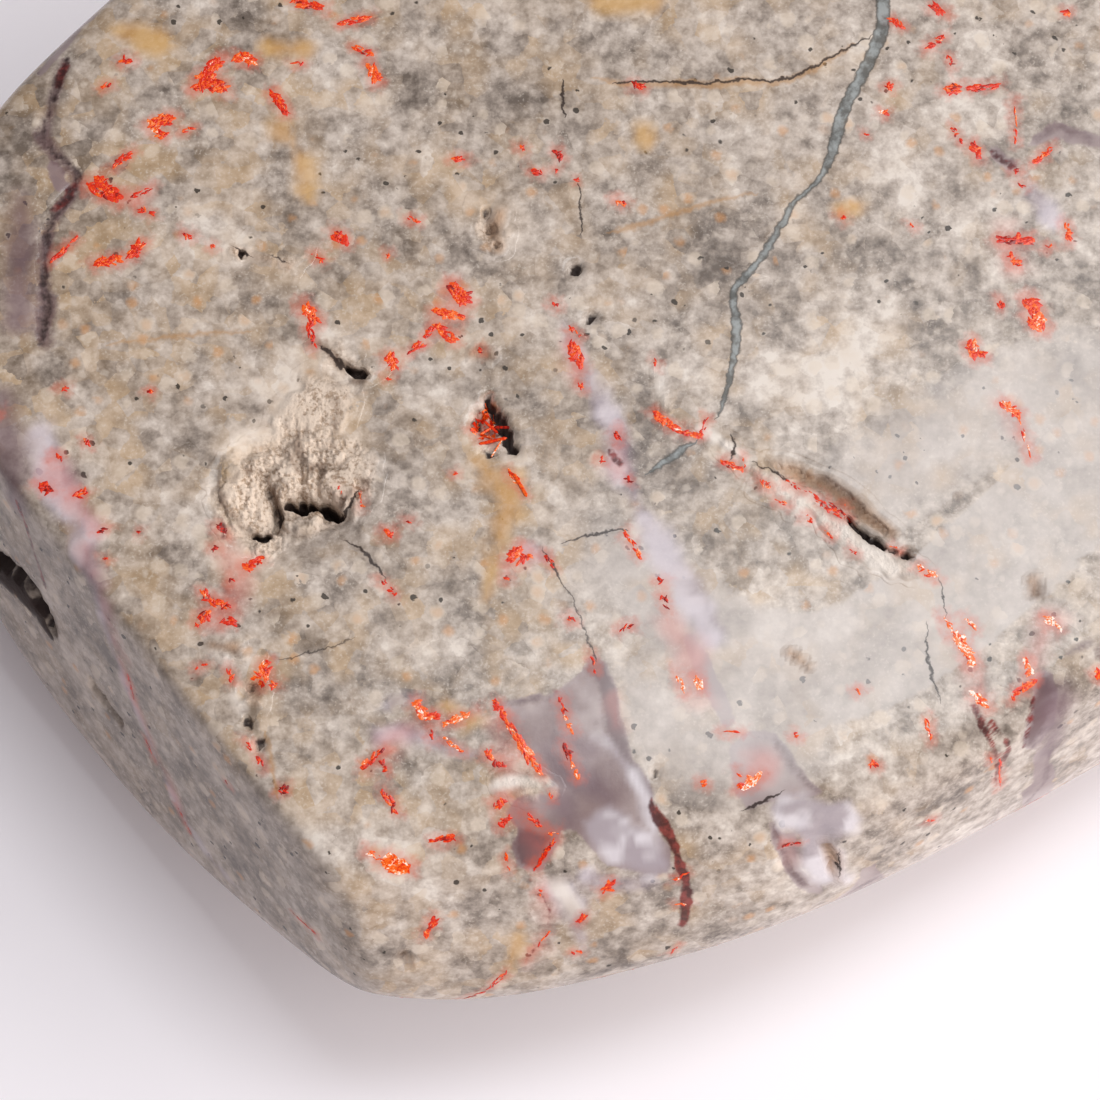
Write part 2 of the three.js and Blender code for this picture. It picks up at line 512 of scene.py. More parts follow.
# The skin drops away under the crumbly ground, which is finer and a mesh of its own.
BELOW_CRUMBS = 3.0
skin_sunk, skin_crumb, skin_crack_shade, skin_height = relief(skin, skin_normal)
skin_sunk = skin_sunk + BELOW_CRUMBS * smooth_step(0.4, 1.4, skin_crumb)
stone_points = skin - skin_normal * skin_sunk[:, None]
stone_points[:, 2] = np.maximum(stone_points[:, 2], 0)

stone_mesh = bpy.data.meshes.new("stone_skin")
stone_mesh.from_pydata((stone_points * MM).tolist(), [], stone_faces)
stone_mesh.polygons.foreach_set("use_smooth", np.ones(len(stone_faces), bool))
stone = bpy.data.objects.new("stone_skin", stone_mesh)
bpy.context.scene.collection.objects.link(stone)

# Colour zones of the rock, kept on the mesh as depths inside their edges.
ZONES = {
    # Pale cream patches of the rock, and darker grey ones, among which the broad strokes at the left and
    # right ends and along the front edge are painted shade.
    "cream": [
        [(770, 392, 14), (800, 385, 20), (826, 388, 14)],
        [(930, 205, 12), (950, 210, 12)],
        [(820, 320, 26), (880, 300, 30), (880, 360, 26)],
        [(310, 380, 34), (290, 430, 40)],
        [(190, 260, 30), (230, 220, 26)],
        [(395, 850, 40), (460, 880, 44), (490, 930, 36)],
        [(340, 600, 34), (420, 630, 30)],
        [(820, 640, 30), (760, 600, 26)],
        [(640, 680, 20), (660, 730, 20)],
    ],
    "slate_and_shade": [
        [(560, 430, 16), (590, 490, 26), (600, 520, 16)],
        [(690, 500, 20), (700, 540, 18)],
        [(700, 300, 20), (650, 340, 16)],
        [(480, 60, 14), (500, 120, 16), (540, 80, 14)],
        [(520, 625, 12), (560, 640, 12)],
        [(640, 455, 12), (690, 440, 9)],
        [(660, 180, 18), (720, 260, 16)],
        [(300, 260, 16), (350, 290, 16)],
        [(60, 330, 14), (110, 300, 14)],
        [(30, 425, 34), (44, 480, 34)],
        [(30, 120, 26), (36, 200, 34), (36, 300, 36), (30, 370, 30)],
        [(1060, 220, 34), (1066, 310, 36), (1070, 380, 24)],
        [(1070, 700, 30), (1066, 770, 30)],
        [(390, 780, 14), (396, 790, 12)],
        [(850, 835, 24), (900, 818, 20), (950, 800, 18)],
        [(480, 930, 20), (510, 900, 16)],
        [(900, 420, 20), (960, 360, 16)],
        [(640, 900, 20), (620, 960, 14)],
        [(740, 860, 14), (720, 930, 14)],
        [(380, 400, 12), (400, 440, 16), (440, 470, 14)],
    ],
    # Ochre stains.
    "ochre": [
        [(476, 462, 10), (496, 480, 22), (510, 505, 20), (500, 528, 11), (492, 565, 8), (486, 598, 6)],
        [(272, 46, 12), (304, 48, 12)],
        [(282, 128, 14), (300, 158, 10), (306, 195, 6)],
        [(125, 34, 12), (160, 36, 12)],
        [(646, 135, 11), (648, 138, 10)],
        [(600, 2, 10), (652, 3, 12)],
        [(838, 210, 8), (858, 206, 8)],
        [(445, 705, 9), (466, 722, 9)],
        [(520, 940, 8), (510, 960, 8)],
    ],
    # White and lavender chalcedony.
    "lavender": [
        [(566, 322, 4), (576, 350, 8), (590, 385, 12), (607, 418, 15), (622, 445, 16), (630, 484, 12),
         (651, 530, 11), (676, 570, 14), (694, 601, 18), (712, 632, 15)],
        [(40, 432, 8), (55, 465, 20), (70, 500, 20), (84, 545, 18), (95, 590, 14), (106, 630, 10),
         (122, 672, 7), (140, 720, 6), (165, 780, 6), (190, 830, 6), (217, 867, 7), (237, 885, 6)],
        [(391, 704, 8), (419, 700, 9)],
        [(378, 735, 10), (400, 730, 12), (440, 745, 10), (470, 755, 8)],
        [(1032, 196, 12), (1048, 216, 13)],
        [(520, 552, 6), (535, 550, 8), (545, 560, 7)],
        [(560, 884, 14), (574, 910, 14), (580, 940, 10)],
        [(590, 880, 14), (620, 884, 12), (650, 880, 8)],
    ],
    # Grey-purple, see-through chalcedony, and its darker and whiter parts.
    "window": [
        [(492, 702), (517, 696), (544, 694), (559, 688), (573, 677), (588, 663), (594, 654), (609, 667),
         (615, 682), (619, 698), (621, 717), (627, 732), (632, 752), (640, 769), (648, 782), (650, 802),
         (661, 836), (671, 855), (671, 875), (640, 871), (609, 867), (590, 850), (575, 832), (563, 832),
         (555, 855), (544, 871), (532, 875), (517, 867), (513, 848), (517, 828), (505, 813), (517, 798),
         (550, 794), (548, 775), (536, 767), (517, 736), (502, 717)],
        [(729, 743), (752, 732), (774, 729), (784, 740), (798, 764), (811, 781), (822, 793), (801, 797),
         (774, 802), (748, 810), (737, 795), (730, 771)],
        [(768, 819), (780, 835), (798, 833), (801, 847), (798, 864), (808, 874), (822, 884), (825, 895),
         (808, 893), (791, 881), (780, 864), (770, 843)],
        [(849, 888), (863, 867), (877, 864), (884, 878), (901, 879), (870, 892), (846, 904),
         (832, 904)],
        [(1028, 681), (1042, 668), (1056, 668), (1059, 688), (1058, 716), (1052, 730), (1042, 740),
         (1035, 750), (1023, 747), (1025, 726), (1032, 709), (1030, 692)],
        [(1035, 754), (1049, 743), (1056, 778), (1052, 792), (1035, 809), (1023, 817), (1021, 792),
         (1032, 778)],
        [(1024, 146), (1036, 130), (1056, 120), (1078, 130), (1110, 138), (1110, 150), (1080, 146),
         (1052, 140)],
        [(994, 150, 7), (1010, 166, 7)],
        [(55, 168, 8), (62, 182, 9)],
        [(100, 0, 6), (70, 40, 7), (40, 72, 5)],
        [(690, 640, 8), (712, 680, 12), (728, 720, 8)],
    ],
    "dusk": [
        [(494, 702, 1), (517, 700, 3), (540, 699, 4), (556, 692, 3)],
        [(594, 655), (609, 667), (615, 682), (619, 698), (621, 717), (627, 732), (632, 752), (640, 769),
         (648, 784), (650, 800), (642, 794), (628, 767), (613, 748), (603, 732), (600, 709), (594, 686),
         (582, 673)],
        [(515, 829), (529, 825), (548, 832), (555, 836), (548, 855), (536, 871), (523, 867),
         (513, 855)],
        [(774, 730), (784, 740), (798, 764), (811, 781), (822, 792), (808, 788), (794, 774), (780, 754),
         (770, 740)],
        [(1034, 682), (1044, 670), (1055, 671), (1056, 700), (1046, 728), (1034, 748), (1024, 744),
         (1032, 712)],
        [(1036, 136, 4), (1056, 126, 6), (1090, 140, 5)],
        [(996, 152, 5), (1012, 164, 5)],
        [(850, 892, 5), (872, 880, 7)],
        [(1068, 654, 3), (1083, 640, 4), (1096, 645, 5), (1106, 662, 6)],
        [(1000, 806, 3), (994, 820, 4), (988, 832, 3)],
        [(805, 815, 4), (805, 828, 4)],
        [(64, 62, 6), (55, 88, 8), (46, 122, 7), (40, 140, 9), (54, 156, 7), (76, 172, 8), (76, 188, 9),
         (62, 206, 7), (46, 232, 8), (43, 262, 8), (45, 290, 8), (47, 312, 11), (44, 340, 9)],
        [(1030, 800, 3), (1046, 780, 5), (1050, 752, 4)],
        [(772, 824, 2), (778, 846, 4), (790, 872, 4), (808, 886, 3)],
    ],
    # Painted shade: dark purple-brown strokes in the purple window, at the left edge and on the right
    # end.
    "shadow": [
        [(548, 752, 10), (565, 772, 18), (588, 786, 18), (606, 796, 8)],
        [(560, 800, 14), (568, 822, 8)],
        [(560, 740, 6), (590, 748, 8)],
        [(20, 200, 10), (22, 250, 16), (20, 320, 16)],
        [(1060, 690, 16), (1050, 750, 14)],
        [(2, 400, 14), (6, 450, 20), (14, 500, 16)],
    ],
    "frost": [
        [(578, 817), (594, 809), (609, 802), (621, 809), (632, 825), (650, 832), (659, 848), (671, 863),
         (671, 875), (655, 875), (632, 871), (613, 865), (594, 850), (582, 836)],
        [(598, 736, 3), (609, 742, 4), (617, 755, 5), (628, 769, 5), (636, 784, 5), (644, 801, 4),
         (650, 821, 3), (661, 848, 3)],
        [(770, 805), (780, 797), (801, 792), (822, 797), (849, 802), (860, 819), (853, 833), (836, 843),
         (842, 860), (846, 878), (836, 884), (825, 888), (815, 881), (808, 871), (798, 860), (801, 843),
         (794, 833), (780, 833), (774, 822)],
    ],
    # Even, pale rock: a painted sheen, where the reflection of the soft box overhead veils the top.
    "calm_sheen": [
        [(620, 560, 30), (700, 640, 60), (800, 680, 80), (900, 640, 90), (1000, 560, 90),
         (1090, 470, 90)],
        [(640, 700, 30), (700, 760, 40), (780, 740, 40)],
        [(880, 480, 40), (960, 420, 50), (1080, 380, 50)],
    ],
    # Pale, weathered rock over the vug.
    "bloom": [
        [(318, 366, 14), (316, 400, 30), (296, 440, 46), (250, 480, 30), (262, 540, 18)],
        [(236, 250, 6), (290, 262, 8)],
        [(470, 205, 6), (500, 225, 10)],
    ],
    # Pink haze around the red crystals.
    "blush": [
        [(222, 545, 10), (240, 580, 16), (216, 612, 18)],
        [(664, 622, 10), (690, 650, 20), (700, 690, 14)],
        [(752, 782, 12), (764, 760, 14)],
        [(497, 725, 8), (512, 770, 10), (520, 815, 12), (540, 850, 12)],
        [(1010, 240, 16), (1022, 258, 12)],
        [(452, 290, 10), (450, 312, 10), (425, 340, 8)],
        [(520, 556, 8), (548, 562, 8)],
        [(100, 188, 12), (140, 200, 10)],
        [(60, 470, 16), (90, 520, 10)],
        [(385, 745, 14), (420, 722, 10)],
        [(1050, 620, 12), (1025, 690, 8)],
        [(572, 342, 7), (576, 380, 6)],
        [(1005, 412, 9), (1024, 450, 4)],
        [(620, 440, 8), (624, 465, 8)],
        [(612, 700, 6), (618, 725, 6)],
        [(790, 842, 7), (794, 858, 7)],
        [(88, 550, 8), (104, 610, 9), (122, 665, 8), (142, 718, 7), (182, 812, 7)],
        [(960, 640, 8), (982, 700, 8)],
        [(545, 880, 6), (552, 930, 6), (530, 965, 6)],
    ],
    # White, chalky lips of the cracks.
    "chalk": [
        CRACK_LIP,
        [(700, 430, 3), (722, 440, 4), (734, 456, 5), (752, 466, 5)],
        [(655, 370, 2), (663, 388, 3), (668, 408, 2)],
        [(500, 786, 4), (520, 784, 7), (544, 780, 5)],
        [(234, 700, 5), (240, 710, 5)],
        [(216, 654, 4), (224, 662, 5)],
        [(560, 884, 8), (574, 910, 8)],
    ],
    # Red-brown seams.
    "garnet": [
        [(648, 798), (657, 809), (669, 821), (675, 838), (682, 855), (690, 871), (692, 890), (692, 909),
         (686, 926), (676, 928), (680, 909), (682, 886), (675, 871), (671, 855), (661, 836), (653, 821),
         (648, 809)],
        [(973, 705, 3), (982, 724, 4), (990, 743, 4), (996, 760, 3), (999, 791, 2)],
        [(989, 719, 3), (999, 733, 3), (1008, 747, 4), (1004, 760, 4), (999, 771, 3)],
        [(1032, 700, 3), (1028, 725, 4), (1025, 745, 4)],
        [(18, 504, 3), (33, 545, 4), (46, 588, 3)],
        [(612, 452, 4), (621, 462, 4)],
        [(64, 66, 6), (58, 82, 5)],
        [(76, 180, 4), (68, 196, 5), (52, 211, 3)],
        [(992, 150, 4), (1006, 162, 5), (1016, 170, 3)],
        [(222, 525, 4), (224, 538, 3)],
        [(278, 788, 3), (288, 796, 3)],
        [(540, 887, 1), (551, 908, 1.5), (548, 935, 1.5), (536, 952, 1.5), (526, 961, 1)],
    ],
    # Tan and umber scoops.
    "umber": [
        [(772, 463, 3), (790, 469, 6), (805, 477, 8), (825, 486, 8), (845, 497, 11), (858, 507, 11),
         (872, 519, 8), (890, 532, 5)],
        [(822, 843), (830, 840), (838, 852), (842, 866), (839, 879), (831, 873), (825, 859)],
        [(1033, 580, 4), (1037, 595, 4)],
        [(790, 651, 3), (800, 658, 4), (812, 667, 3)],
        [(212, 645, 5), (234, 648, 6)],
        [(250, 682, 6), (254, 700, 6)],
        [(472, 352, 6), (488, 356, 8)],
        [(500, 215, 6), (494, 230, 7), (498, 246, 6)],
        [(399, 954, 4), (412, 962, 4)],
        [(236, 249, 3), (256, 256, 2), (290, 265, 2)],
    ],
    # Painted shade: brown darkening in the creases of the crumbly ground.
    "crease_shade": [
        [(217, 477, 2), (219, 492, 3), (226, 508, 3), (240, 524, 2), (256, 536, 3)],
        [(272, 490, 3), (279, 502, 4), (282, 515, 5), (278, 528, 4), (268, 537, 3)],
        [(295, 437, 2), (300, 451, 4)],
        [(301, 455, 2), (305, 466, 2)],
        [(289, 455, 2), (297, 468, 2)],
        [(319, 345, 3), (330, 354, 5), (340, 364, 4), (352, 368, 4)],
        [(346, 380, 2), (366, 382, 2)],
        [(310, 468, 2), (320, 462, 2), (323, 470, 2)],
        [(356, 476, 4), (366, 482, 4)],
        [(343, 503, 3), (352, 490, 3)],
        [(242, 470, 2), (230, 478, 2)],
        [(334, 400, 2), (340, 420, 3), (334, 436, 2)],
        [(222, 655, 2), (230, 650, 3), (238, 656, 2)],
        [(248, 682, 2), (254, 692, 3), (246, 696, 2)],
        [(243, 712, 2), (241, 709, 1)],
        [(258, 752, 2), (262, 764, 2)],
        [(486, 212, 3), (494, 226, 4), (499, 244, 3)],
        [(802, 470, 2), (812, 480, 2)],
        [(858, 496, 2), (864, 512, 2)],
        [(876, 521, 2), (892, 534, 2)],
        [(478, 350, 3), (490, 352, 4), (490, 366, 3)],
    ],
}
# The same on the sides that the view leaves out: compass angles, heights and half widths in millimetres.
ZONES_BEHIND = {
    "cream": [
        [(84, 14, 4), (100, 19, 6), (112, 15, 4)],
        [(12, 10, 4), (28, 27, 4)],
        [(158, 12, 5), (172, 16, 4)],
    ],
    "slate_and_shade": [[(108, 28, 4), (124, 25, 5)], [(44, 15, 5), (32, 8, 4)], [(176, 20, 5), (186, 13, 4)]],
    "ochre": [
        [(10, 21, 0.6), (18, 18, 1.8), (26, 19, 0.9)],
        [(36, 26, 0.5), (42, 27, 1.2)],
        [(118, 12, 0.6), (126, 16, 1.8), (134, 14, 0.8)],
        [(74, 9, 2), (86, 7, 1)],
        [(160, 29, 1), (172, 25, 2), (182, 27, 1)],
    ],
    "lavender": [
        [(50, 34, 1), (53, 25, 2), (58, 17, 3), (60, 9, 1.5)],
        [(152, 33, 1), (149, 22, 2), (145, 13, 3), (140, 7, 1)],
        [(352, 25, 1), (0, 17, 2), (5, 9, 1)],
    ],
    "window": [[(55, 22, 0.6), (58, 16, 1.6), (60, 10, 0.8)], [(147, 18, 0.8), (144, 11, 1.5)]],
    "garnet": [
        [(48, 33, 0.2), (50, 25, 0.4), (55, 16, 0.4), (57, 9, 0.2)],
        [(153, 30, 0.2), (152, 21, 0.4), (148, 12, 0.2)],
    ],
    "blush": [[(52, 27, 1.5), (58, 18, 2)], [(150, 25, 1.5), (145, 14, 2)], [(20, 24, 1.5), (26, 18, 1)]],
}
# How far the edge of each zone strays with the clouds, in millimetres.
STRAYS = {
    "cream": 1.5, "slate_and_shade": 1.5, "calm_sheen": 0, "bloom": 1.4, "ochre": 0.9, "lavender": 0.7, "shadow": 0.4,
    "frost": 0.4, "blush": 0.9, "umber": 0.15, "chalk": 0.25, "window": 0.1, "dusk": 0.2, "garnet": 0.1,
    "crease_shade": 0.3,
}
# Soft stains, a painted sheen and a painted shade: zone, depths at which it starts and is full, how much
# it covers, and its two colours.
STAINS_AND_PAINTED_LIGHT = [
    ("calm_sheen", -4, 3, 0.32, (190, 184, 183), (208, 202, 200)),
    ("bloom", -2.4, 1.4, 0.42, (190, 166, 142), (214, 194, 174)),
    ("ochre", -0.9, 0.9, 0.72, (190, 140, 72), (204, 160, 96)),
    ("lavender", -0.6, 0.9, 0.68, (150, 136, 146), (200, 190, 199)),
    ("shadow", -1.2, 1.2, 0.75, (104, 82, 88), (118, 96, 102)),
    ("frost", -0.5, 0.6, 0.85, (166, 155, 160), (216, 209, 213)),
    ("blush", -1.0, 1.5, 0.42, (190, 92, 82), (204, 118, 106)),
    ("chalk", -0.5, 0.4, 0.85, (206, 193, 181), (228, 218, 208)),
    ("umber", -0.5, 0.6, 0.85, (132, 102, 78), (176, 142, 114)),
]
VEINS = [
    # The blue-grey vein and its faint end.
    [(905, -190, 6), (895, -110, 6), (884, -40, 7), (882, 0, 7), (884, 26, 8), (876, 46, 7),
     (863, 74, 7), (850, 97, 7), (839, 122, 7), (834, 148, 6), (825, 172, 3.5), (810, 190, 3),
     (790, 204, 3.5), (787, 217, 5), (776, 232, 3.5), (769, 247, 5), (756, 265, 3.5), (741, 281, 4),
     (732, 291, 4), (733, 306, 5), (737, 321, 5), (736, 342, 5), (732, 372, 4), (724, 402, 3),
     (718, 415, 1)],
    [(692, 443, 2), (672, 457, 6), (651, 471, 2)],
]
# Its way down the back: compass angles, heights and half widths in millimetres.
VEIN_BEHIND = [
    (67, 6, 0.25), (68, 13, 0.4), (66, 20, 0.5), (68, 26, 0.5), (67, 32, 0.55), (67.5, 36, 0.55),
]
# Thin cracks: hair cracks that were polished over, and open slits, both drawn as dark lines; in the open
# slits the dark is a painted shade.
SLITS = [
    [(618, 82, 1), (660, 81, 1.5), (712, 84, 1.5), (751, 77, 1.5), (769, 83, 1.5), (802, 74, 1.5),
     (822, 61, 1.5), (868, 38, 1)],
    [(562, 85, 1.5), (563, 112, 1.5)],
    [(580, 188, 1), (582, 230, 1)],
    [(567, 542, 1), (595, 533, 1.5), (622, 530, 1)],
    [(284, 659, 0.5), (320, 650, 0.7), (350, 640, 0.4)],
    [(345, 540, 0.5), (360, 548, 1.5), (376, 566, 2), (384, 576, 0.5)],
    [(927, 627, 0.5), (927, 657, 1.5), (932, 677, 1.5), (940, 698, 0.5)],
    [(940, 583, 0.5), (943, 600, 1), (945, 612, 0.5)],
    [(544, 552, 0.5), (550, 561, 2), (555, 571, 1.5), (562, 584, 0.6), (574, 601, 0.6), (582, 621, 0.6),
     (589, 642, 0.6), (594, 656, 1)],
    [(754, 463, 0.5), (768, 468, 1), (777, 472, 1.5), (786, 480, 1)],
    [(732, 436, 1), (736, 448, 1.5), (731, 458, 1)],
    [(321, 347, 1), (331, 354, 2), (342, 365, 2.5)],
    [(746, 809, 1), (762, 802, 2.5), (779, 793, 1)],
    [(236, 248, 1), (247, 254, 2)],
    [(272, 256, 0.5), (285, 262, 1)],
    [(278, 505, 1.5), (281, 515, 2.5), (279, 523, 1.5)],
    [(345, 512, 2), (352, 500, 2), (358, 490, 1)],
    [(838, 852, 0.5), (841, 865, 1.5), (839, 877, 0.5)],
]
# Thin rusty lines.
RUST = [
    [(612, 232, 1), (632, 228, 4), (655, 220, 2.5), (690, 209, 2.5), (720, 200, 2), (752, 194, 1)],
    [(596, 79, 1), (625, 85, 3), (660, 84, 2.5), (690, 83, 5), (712, 86, 4), (740, 79, 5), (768, 85, 3),
     (802, 76, 3.5), (824, 63, 3), (850, 47, 2)],
    [(267, 738, 2), (272, 765, 2.5), (276, 792, 2)],
    [(112, 344, 1), (180, 336, 2.5), (246, 331, 1)],
]
SLITS_BEHIND = [
    [(92, 31, 0.05), (100, 27, 0.15), (106, 26, 0.1), (113, 22, 0.05)],
    [(22, 27, 0.05), (34, 24, 0.15), (40, 25, 0.1), (50, 23, 0.05)],
    [(166, 31, 0.05), (169, 22, 0.15), (167, 15, 0.1), (171, 10, 0.05)],
]
vein_paths = [seen_path(path) for path in VEINS]
vein_paths[0] = np.concatenate([side_path(VEIN_BEHIND), vein_paths[0]])
rust_paths = [seen_path(path) for path in RUST]
slit_paths = [seen_path(path) for path in SLITS] + [side_path(path) for path in SLITS_BEHIND]
for name, marks in ZONES_BEHIND.items():
    ZONES[name] = ZONES[name] + [side_path(path) for path in marks]


def shade(red, green, blue):
    """A colour as seen on a screen, 0 to 255, as the linear colour that a shader takes."""
    value = np.array([red, green, blue]) / 255
    linear = np.where(value <= 0.04045, value / 12.92, ((value + 0.055) / 1.055) ** 2.4)
    return (*linear, 1.0)


def keep(mesh, name, values):
    """Stores one number for each vertex under the given name."""
    mesh.attributes.new(name, "FLOAT", "POINT").data.foreach_set("value", values.astype(np.float32))


def keep_lines(mesh, name, paths, points, normals):
    """Stores how far each vertex is across the nearest of some thin lines, the half width of that
    line, and the distance from it."""
    across = np.full(len(points), float(MARK_REACH))
    nearest = across.copy()
    half_width = np.zeros(len(points))
    for path in paths:
        path_across, distance, width = measure(points, normals, path, MARK_REACH)
        nearer = distance < nearest
        across[nearer] = path_across[nearer]
        nearest[nearer] = distance[nearer]
        half_width[nearer] = width[nearer]
    keep(mesh, name + "_across", across)
    keep(mesh, name + "_width", half_width)
    keep(mesh, name + "_away", nearest)


def mark(mesh, points, normals, crumb, crack_shade, height):
    """Stores the marks of the rock on a mesh whose vertices belong to the given points of the skin:
    its tone and unrest, its stains with the painted sheen and shade as one colour, the depths in
    the other zones, and the lines. The rock is paler to the right, a painted sheen, warmer to the
    left, and streaked along the ridge on the steep side."""
    CLOUD, BROAD_CLOUD, WARM_CLOUD = 2.6, 7.0, 3.2
    STREAK, FINE_STREAK = 1.8, 0.9
    STREAK_STRETCH = 0.8
    SHEEN_FROM, SHEEN_TO = 0, 25
    WARM_FADE = 110
    place = bent(points)
    small_clouds = clouds(points, CLOUD, 51)
    depths = {}
    for name, marks in ZONES.items():
        depths[name] = zone(place, normals, marks) + STRAYS[name] * small_clouds
    paleness = smooth_step(-2, 1, depths.pop("cream")) - smooth_step(-2, 1, depths.pop("slate_and_shade"))
    # Where the painted sheen lies, the rock is drawn less mottled, and a pale grey is laid over it with
    # the stains.
    calm_sheen = smooth_step(-4, 3, depths["calm_sheen"])
    steep = smooth_step(0.6, 0.95, normals @ facet_normal[STEEP_SIDE])
    ridge_run = np.cross(facet_normal[STEEP_SIDE], facet_normal[TOP])
    streaked = points - STREAK_STRETCH * (points @ ridge_run)[:, None] * ridge_run
    streaks = lumps(streaked, STREAK, 91) + 0.6 * lumps(streaked, FINE_STREAK, 92)
    patchy = (0.16 * clouds(points, BROAD_CLOUD, 61) + 0.2 * small_clouds) * (1 - 0.6 * calm_sheen)
    # Paler towards the right: a painted sheen.
    paleness = paleness + 0.6 * smooth_step(SHEEN_FROM, SHEEN_TO, points[:, 0])
    paleness = paleness + 0.8 * smooth_step(-2.4, 1.4, depths["bloom"])
    keep(mesh, "tone", 0.5 + (0.12 * streaks - 0.12) * steep + patchy + 0.16 * paleness)
    keep(mesh, "unrest", 1.55 - 0.95 * calm_sheen - 0.4 * steep)
    warmth = smooth_step(-0.5, 1.1, clouds(points, WARM_CLOUD, 71) - points[:, 0] / WARM_FADE)
    keep(mesh, "warmth", warmth * (1 - 0.7 * steep))
    chalky = smooth_step(-0.4, 0.2, depths["chalk"])
    scooped = smooth_step(-0.5, 0.4, depths["umber"])
    stain_and_painted_light = np.zeros((len(points), 4))
    blend = smooth_step(-0.35, 0.35, small_clouds)[:, None]
    for name, low, high, most, dark, light in STAINS_AND_PAINTED_LIGHT:
        paint = np.array(shade(*dark)) * (1 - blend) + np.array(shade(*light)) * blend
        mask = most * smooth_step(low, high, depths.pop(name))[:, None]
        stain_and_painted_light = stain_and_painted_light * (1 - mask) + paint * mask
    stain_and_light_layer = mesh.attributes.new("stain_and_painted_light", "FLOAT_COLOR", "POINT")
    stain_and_light_layer.data.foreach_set("color", stain_and_painted_light.ravel().astype(np.float32))
    for name, depth in depths.items():
        keep(mesh, name, depth)
    keep(mesh, "crumb", crumb + 0.5 * small_clouds - 3 * chalky)
    keep(mesh, "height", height)
    keep(mesh, "crack_shade", crack_shade)
    keep(mesh, "dull", np.maximum(np.maximum(smooth_step(-0.4, 0.5, crumb), crack_shade), scooped))
    keep_lines(mesh, "vein", vein_paths, points, normals)
    keep_lines(mesh, "slit", slit_paths, points, normals)
    keep_lines(mesh, "rust", rust_paths, points, normals)


mark(stone_mesh, skin, skin_normal, skin_crumb, skin_crack_shade, skin_height)


def put(tree, kind, inputs=None, **settings):
    """Adds a node, sets it, and links or fills its inputs, which are named or numbered."""
    node = tree.nodes.new(kind)
    for name, value in settings.items():
        setattr(node, name, value)
    for name, value in (inputs or {}).items():
        if isinstance(value, bpy.types.NodeSocket):
            tree.links.new(value, node.inputs[name])
        else:
            node.inputs[name].default_value = value
    return node


def maths(tree, operation, first, second=0.0):
    """One sum, product or the like of two values."""
    return put(tree, "ShaderNodeMath", {0: first, 1: second}, operation=operation).outputs[0]


def weighted(tree, first, second, weight):
    """The first value, plus the second times a weight."""
    inputs = {0: second, 1: weight, 2: first}
    return put(tree, "ShaderNodeMath", inputs, operation="MULTIPLY_ADD").outputs[0]


def ramp(tree, value, low, high, bottom=0.0, top=1.0):
    """A value taken smoothly from bottom, at low, to top, at high."""
    inputs = {"Value": value, "From Min": low, "From Max": high, "To Min": bottom, "To Max": top}
    return put(tree, "ShaderNodeMapRange", inputs, interpolation_type="SMOOTHSTEP").outputs[0]


def over(tree, mask, under, colour):
    """A colour laid over another where the mask is one."""
    node = put(tree, "ShaderNodeMix", {0: mask, 6: under, 7: colour}, data_type="RGBA")
    return node.outputs[2]


def noise(tree, where, size, detail, rough=0.6):
    """Noise with features of the given size in millimetres, about 0.5."""
    inputs = {"Vector": where, "Scale": 1 / (size * MM), "Detail": detail, "Roughness": rough}
    return put(tree, "ShaderNodeTexNoise", inputs).outputs["Fac"]


def grains(tree, where, size):
    """Random grains of the given size in millimetres: the distance from each middle, in grains, and
    three random numbers for each grain."""
    node = put(tree, "ShaderNodeTexVoronoi", {"Vector": where, "Scale": 1 / (size * MM)})
    split = put(tree, "ShaderNodeSeparateColor", {0: node.outputs["Color"]})
    return node.outputs["Distance"], split.outputs


def stored(tree, name):
    """A number kept on the mesh."""
    return put(tree, "ShaderNodeAttribute", attribute_name=name).outputs["Fac"]


def new_material(name):
    """An empty node material, its tree and its surface shader."""
    material = bpy.data.materials.new(name)
    material.use_nodes = True
    tree = material.node_tree
    return material, tree, tree.nodes["Principled BSDF"]


# The colours of the rock, of its chalcedony and seams, of its lines, and of its rough ground, with the
# painted light and shade of the crumbs, creases, cracks and slits.
ROCK_TONES = [
    (0.0, shade(102, 91, 83)),
    (0.28, shade(139, 127, 117)),
    (0.5, shade(168, 155, 144)),
    (0.72, shade(191, 178, 167)),
    (1.0, shade(217, 206, 195)),
]
TAN = shade(190, 158, 118)
RUSTY = shade(200, 142, 84)
CREAM = shade(212, 195, 176)
PALE = shade(210, 196, 182)
WHITE = shade(212, 202, 190)
BLACK = shade(48, 42, 36)
DARK_SMOKE = shade(132, 112, 112)
LIGHT_SMOKE = shade(172, 157, 155)
DUSK = shade(96, 72, 74)
FLUSH = shade(206, 92, 66)
DARK_WINE = shade(70, 18, 20)
LIGHT_WINE = shade(128, 40, 36)
RUST_LINE = shade(176, 130, 78)
DARK_VEIN = shade(86, 88, 86)
LIGHT_VEIN = shade(142, 148, 148)
VEIN_EDGE = shade(62, 59, 54)
CRUMB_GAP_SHADE = shade(152, 128, 107)
CRUMB_TOP_LIGHT = shade(215, 196, 178)
CREASE_SHADE_COLOUR = shade(96, 72, 56)
CRACK_SHADE_COLOUR = shade(44, 30, 28)
HAIRLINE_AND_SLIT_SHADE = shade(44, 32, 29)
CLAST_SIZE = 1.7
SPECK_SIZE = 1.0
POLISH = 0.2
MIRRORING = 0.25

rock, tree, surface = new_material("polished_rock")
where = put(tree, "ShaderNodeTexCoord").outputs["Object"]
mottle = noise(tree, where, 1.3, 3.0, 0.6)
fleck = noise(tree, where, 0.28, 1.0)
fray_noise = noise(tree, where, 0.8, 2.0)
fray = maths(tree, "SUBTRACT", fray_noise, 0.5)

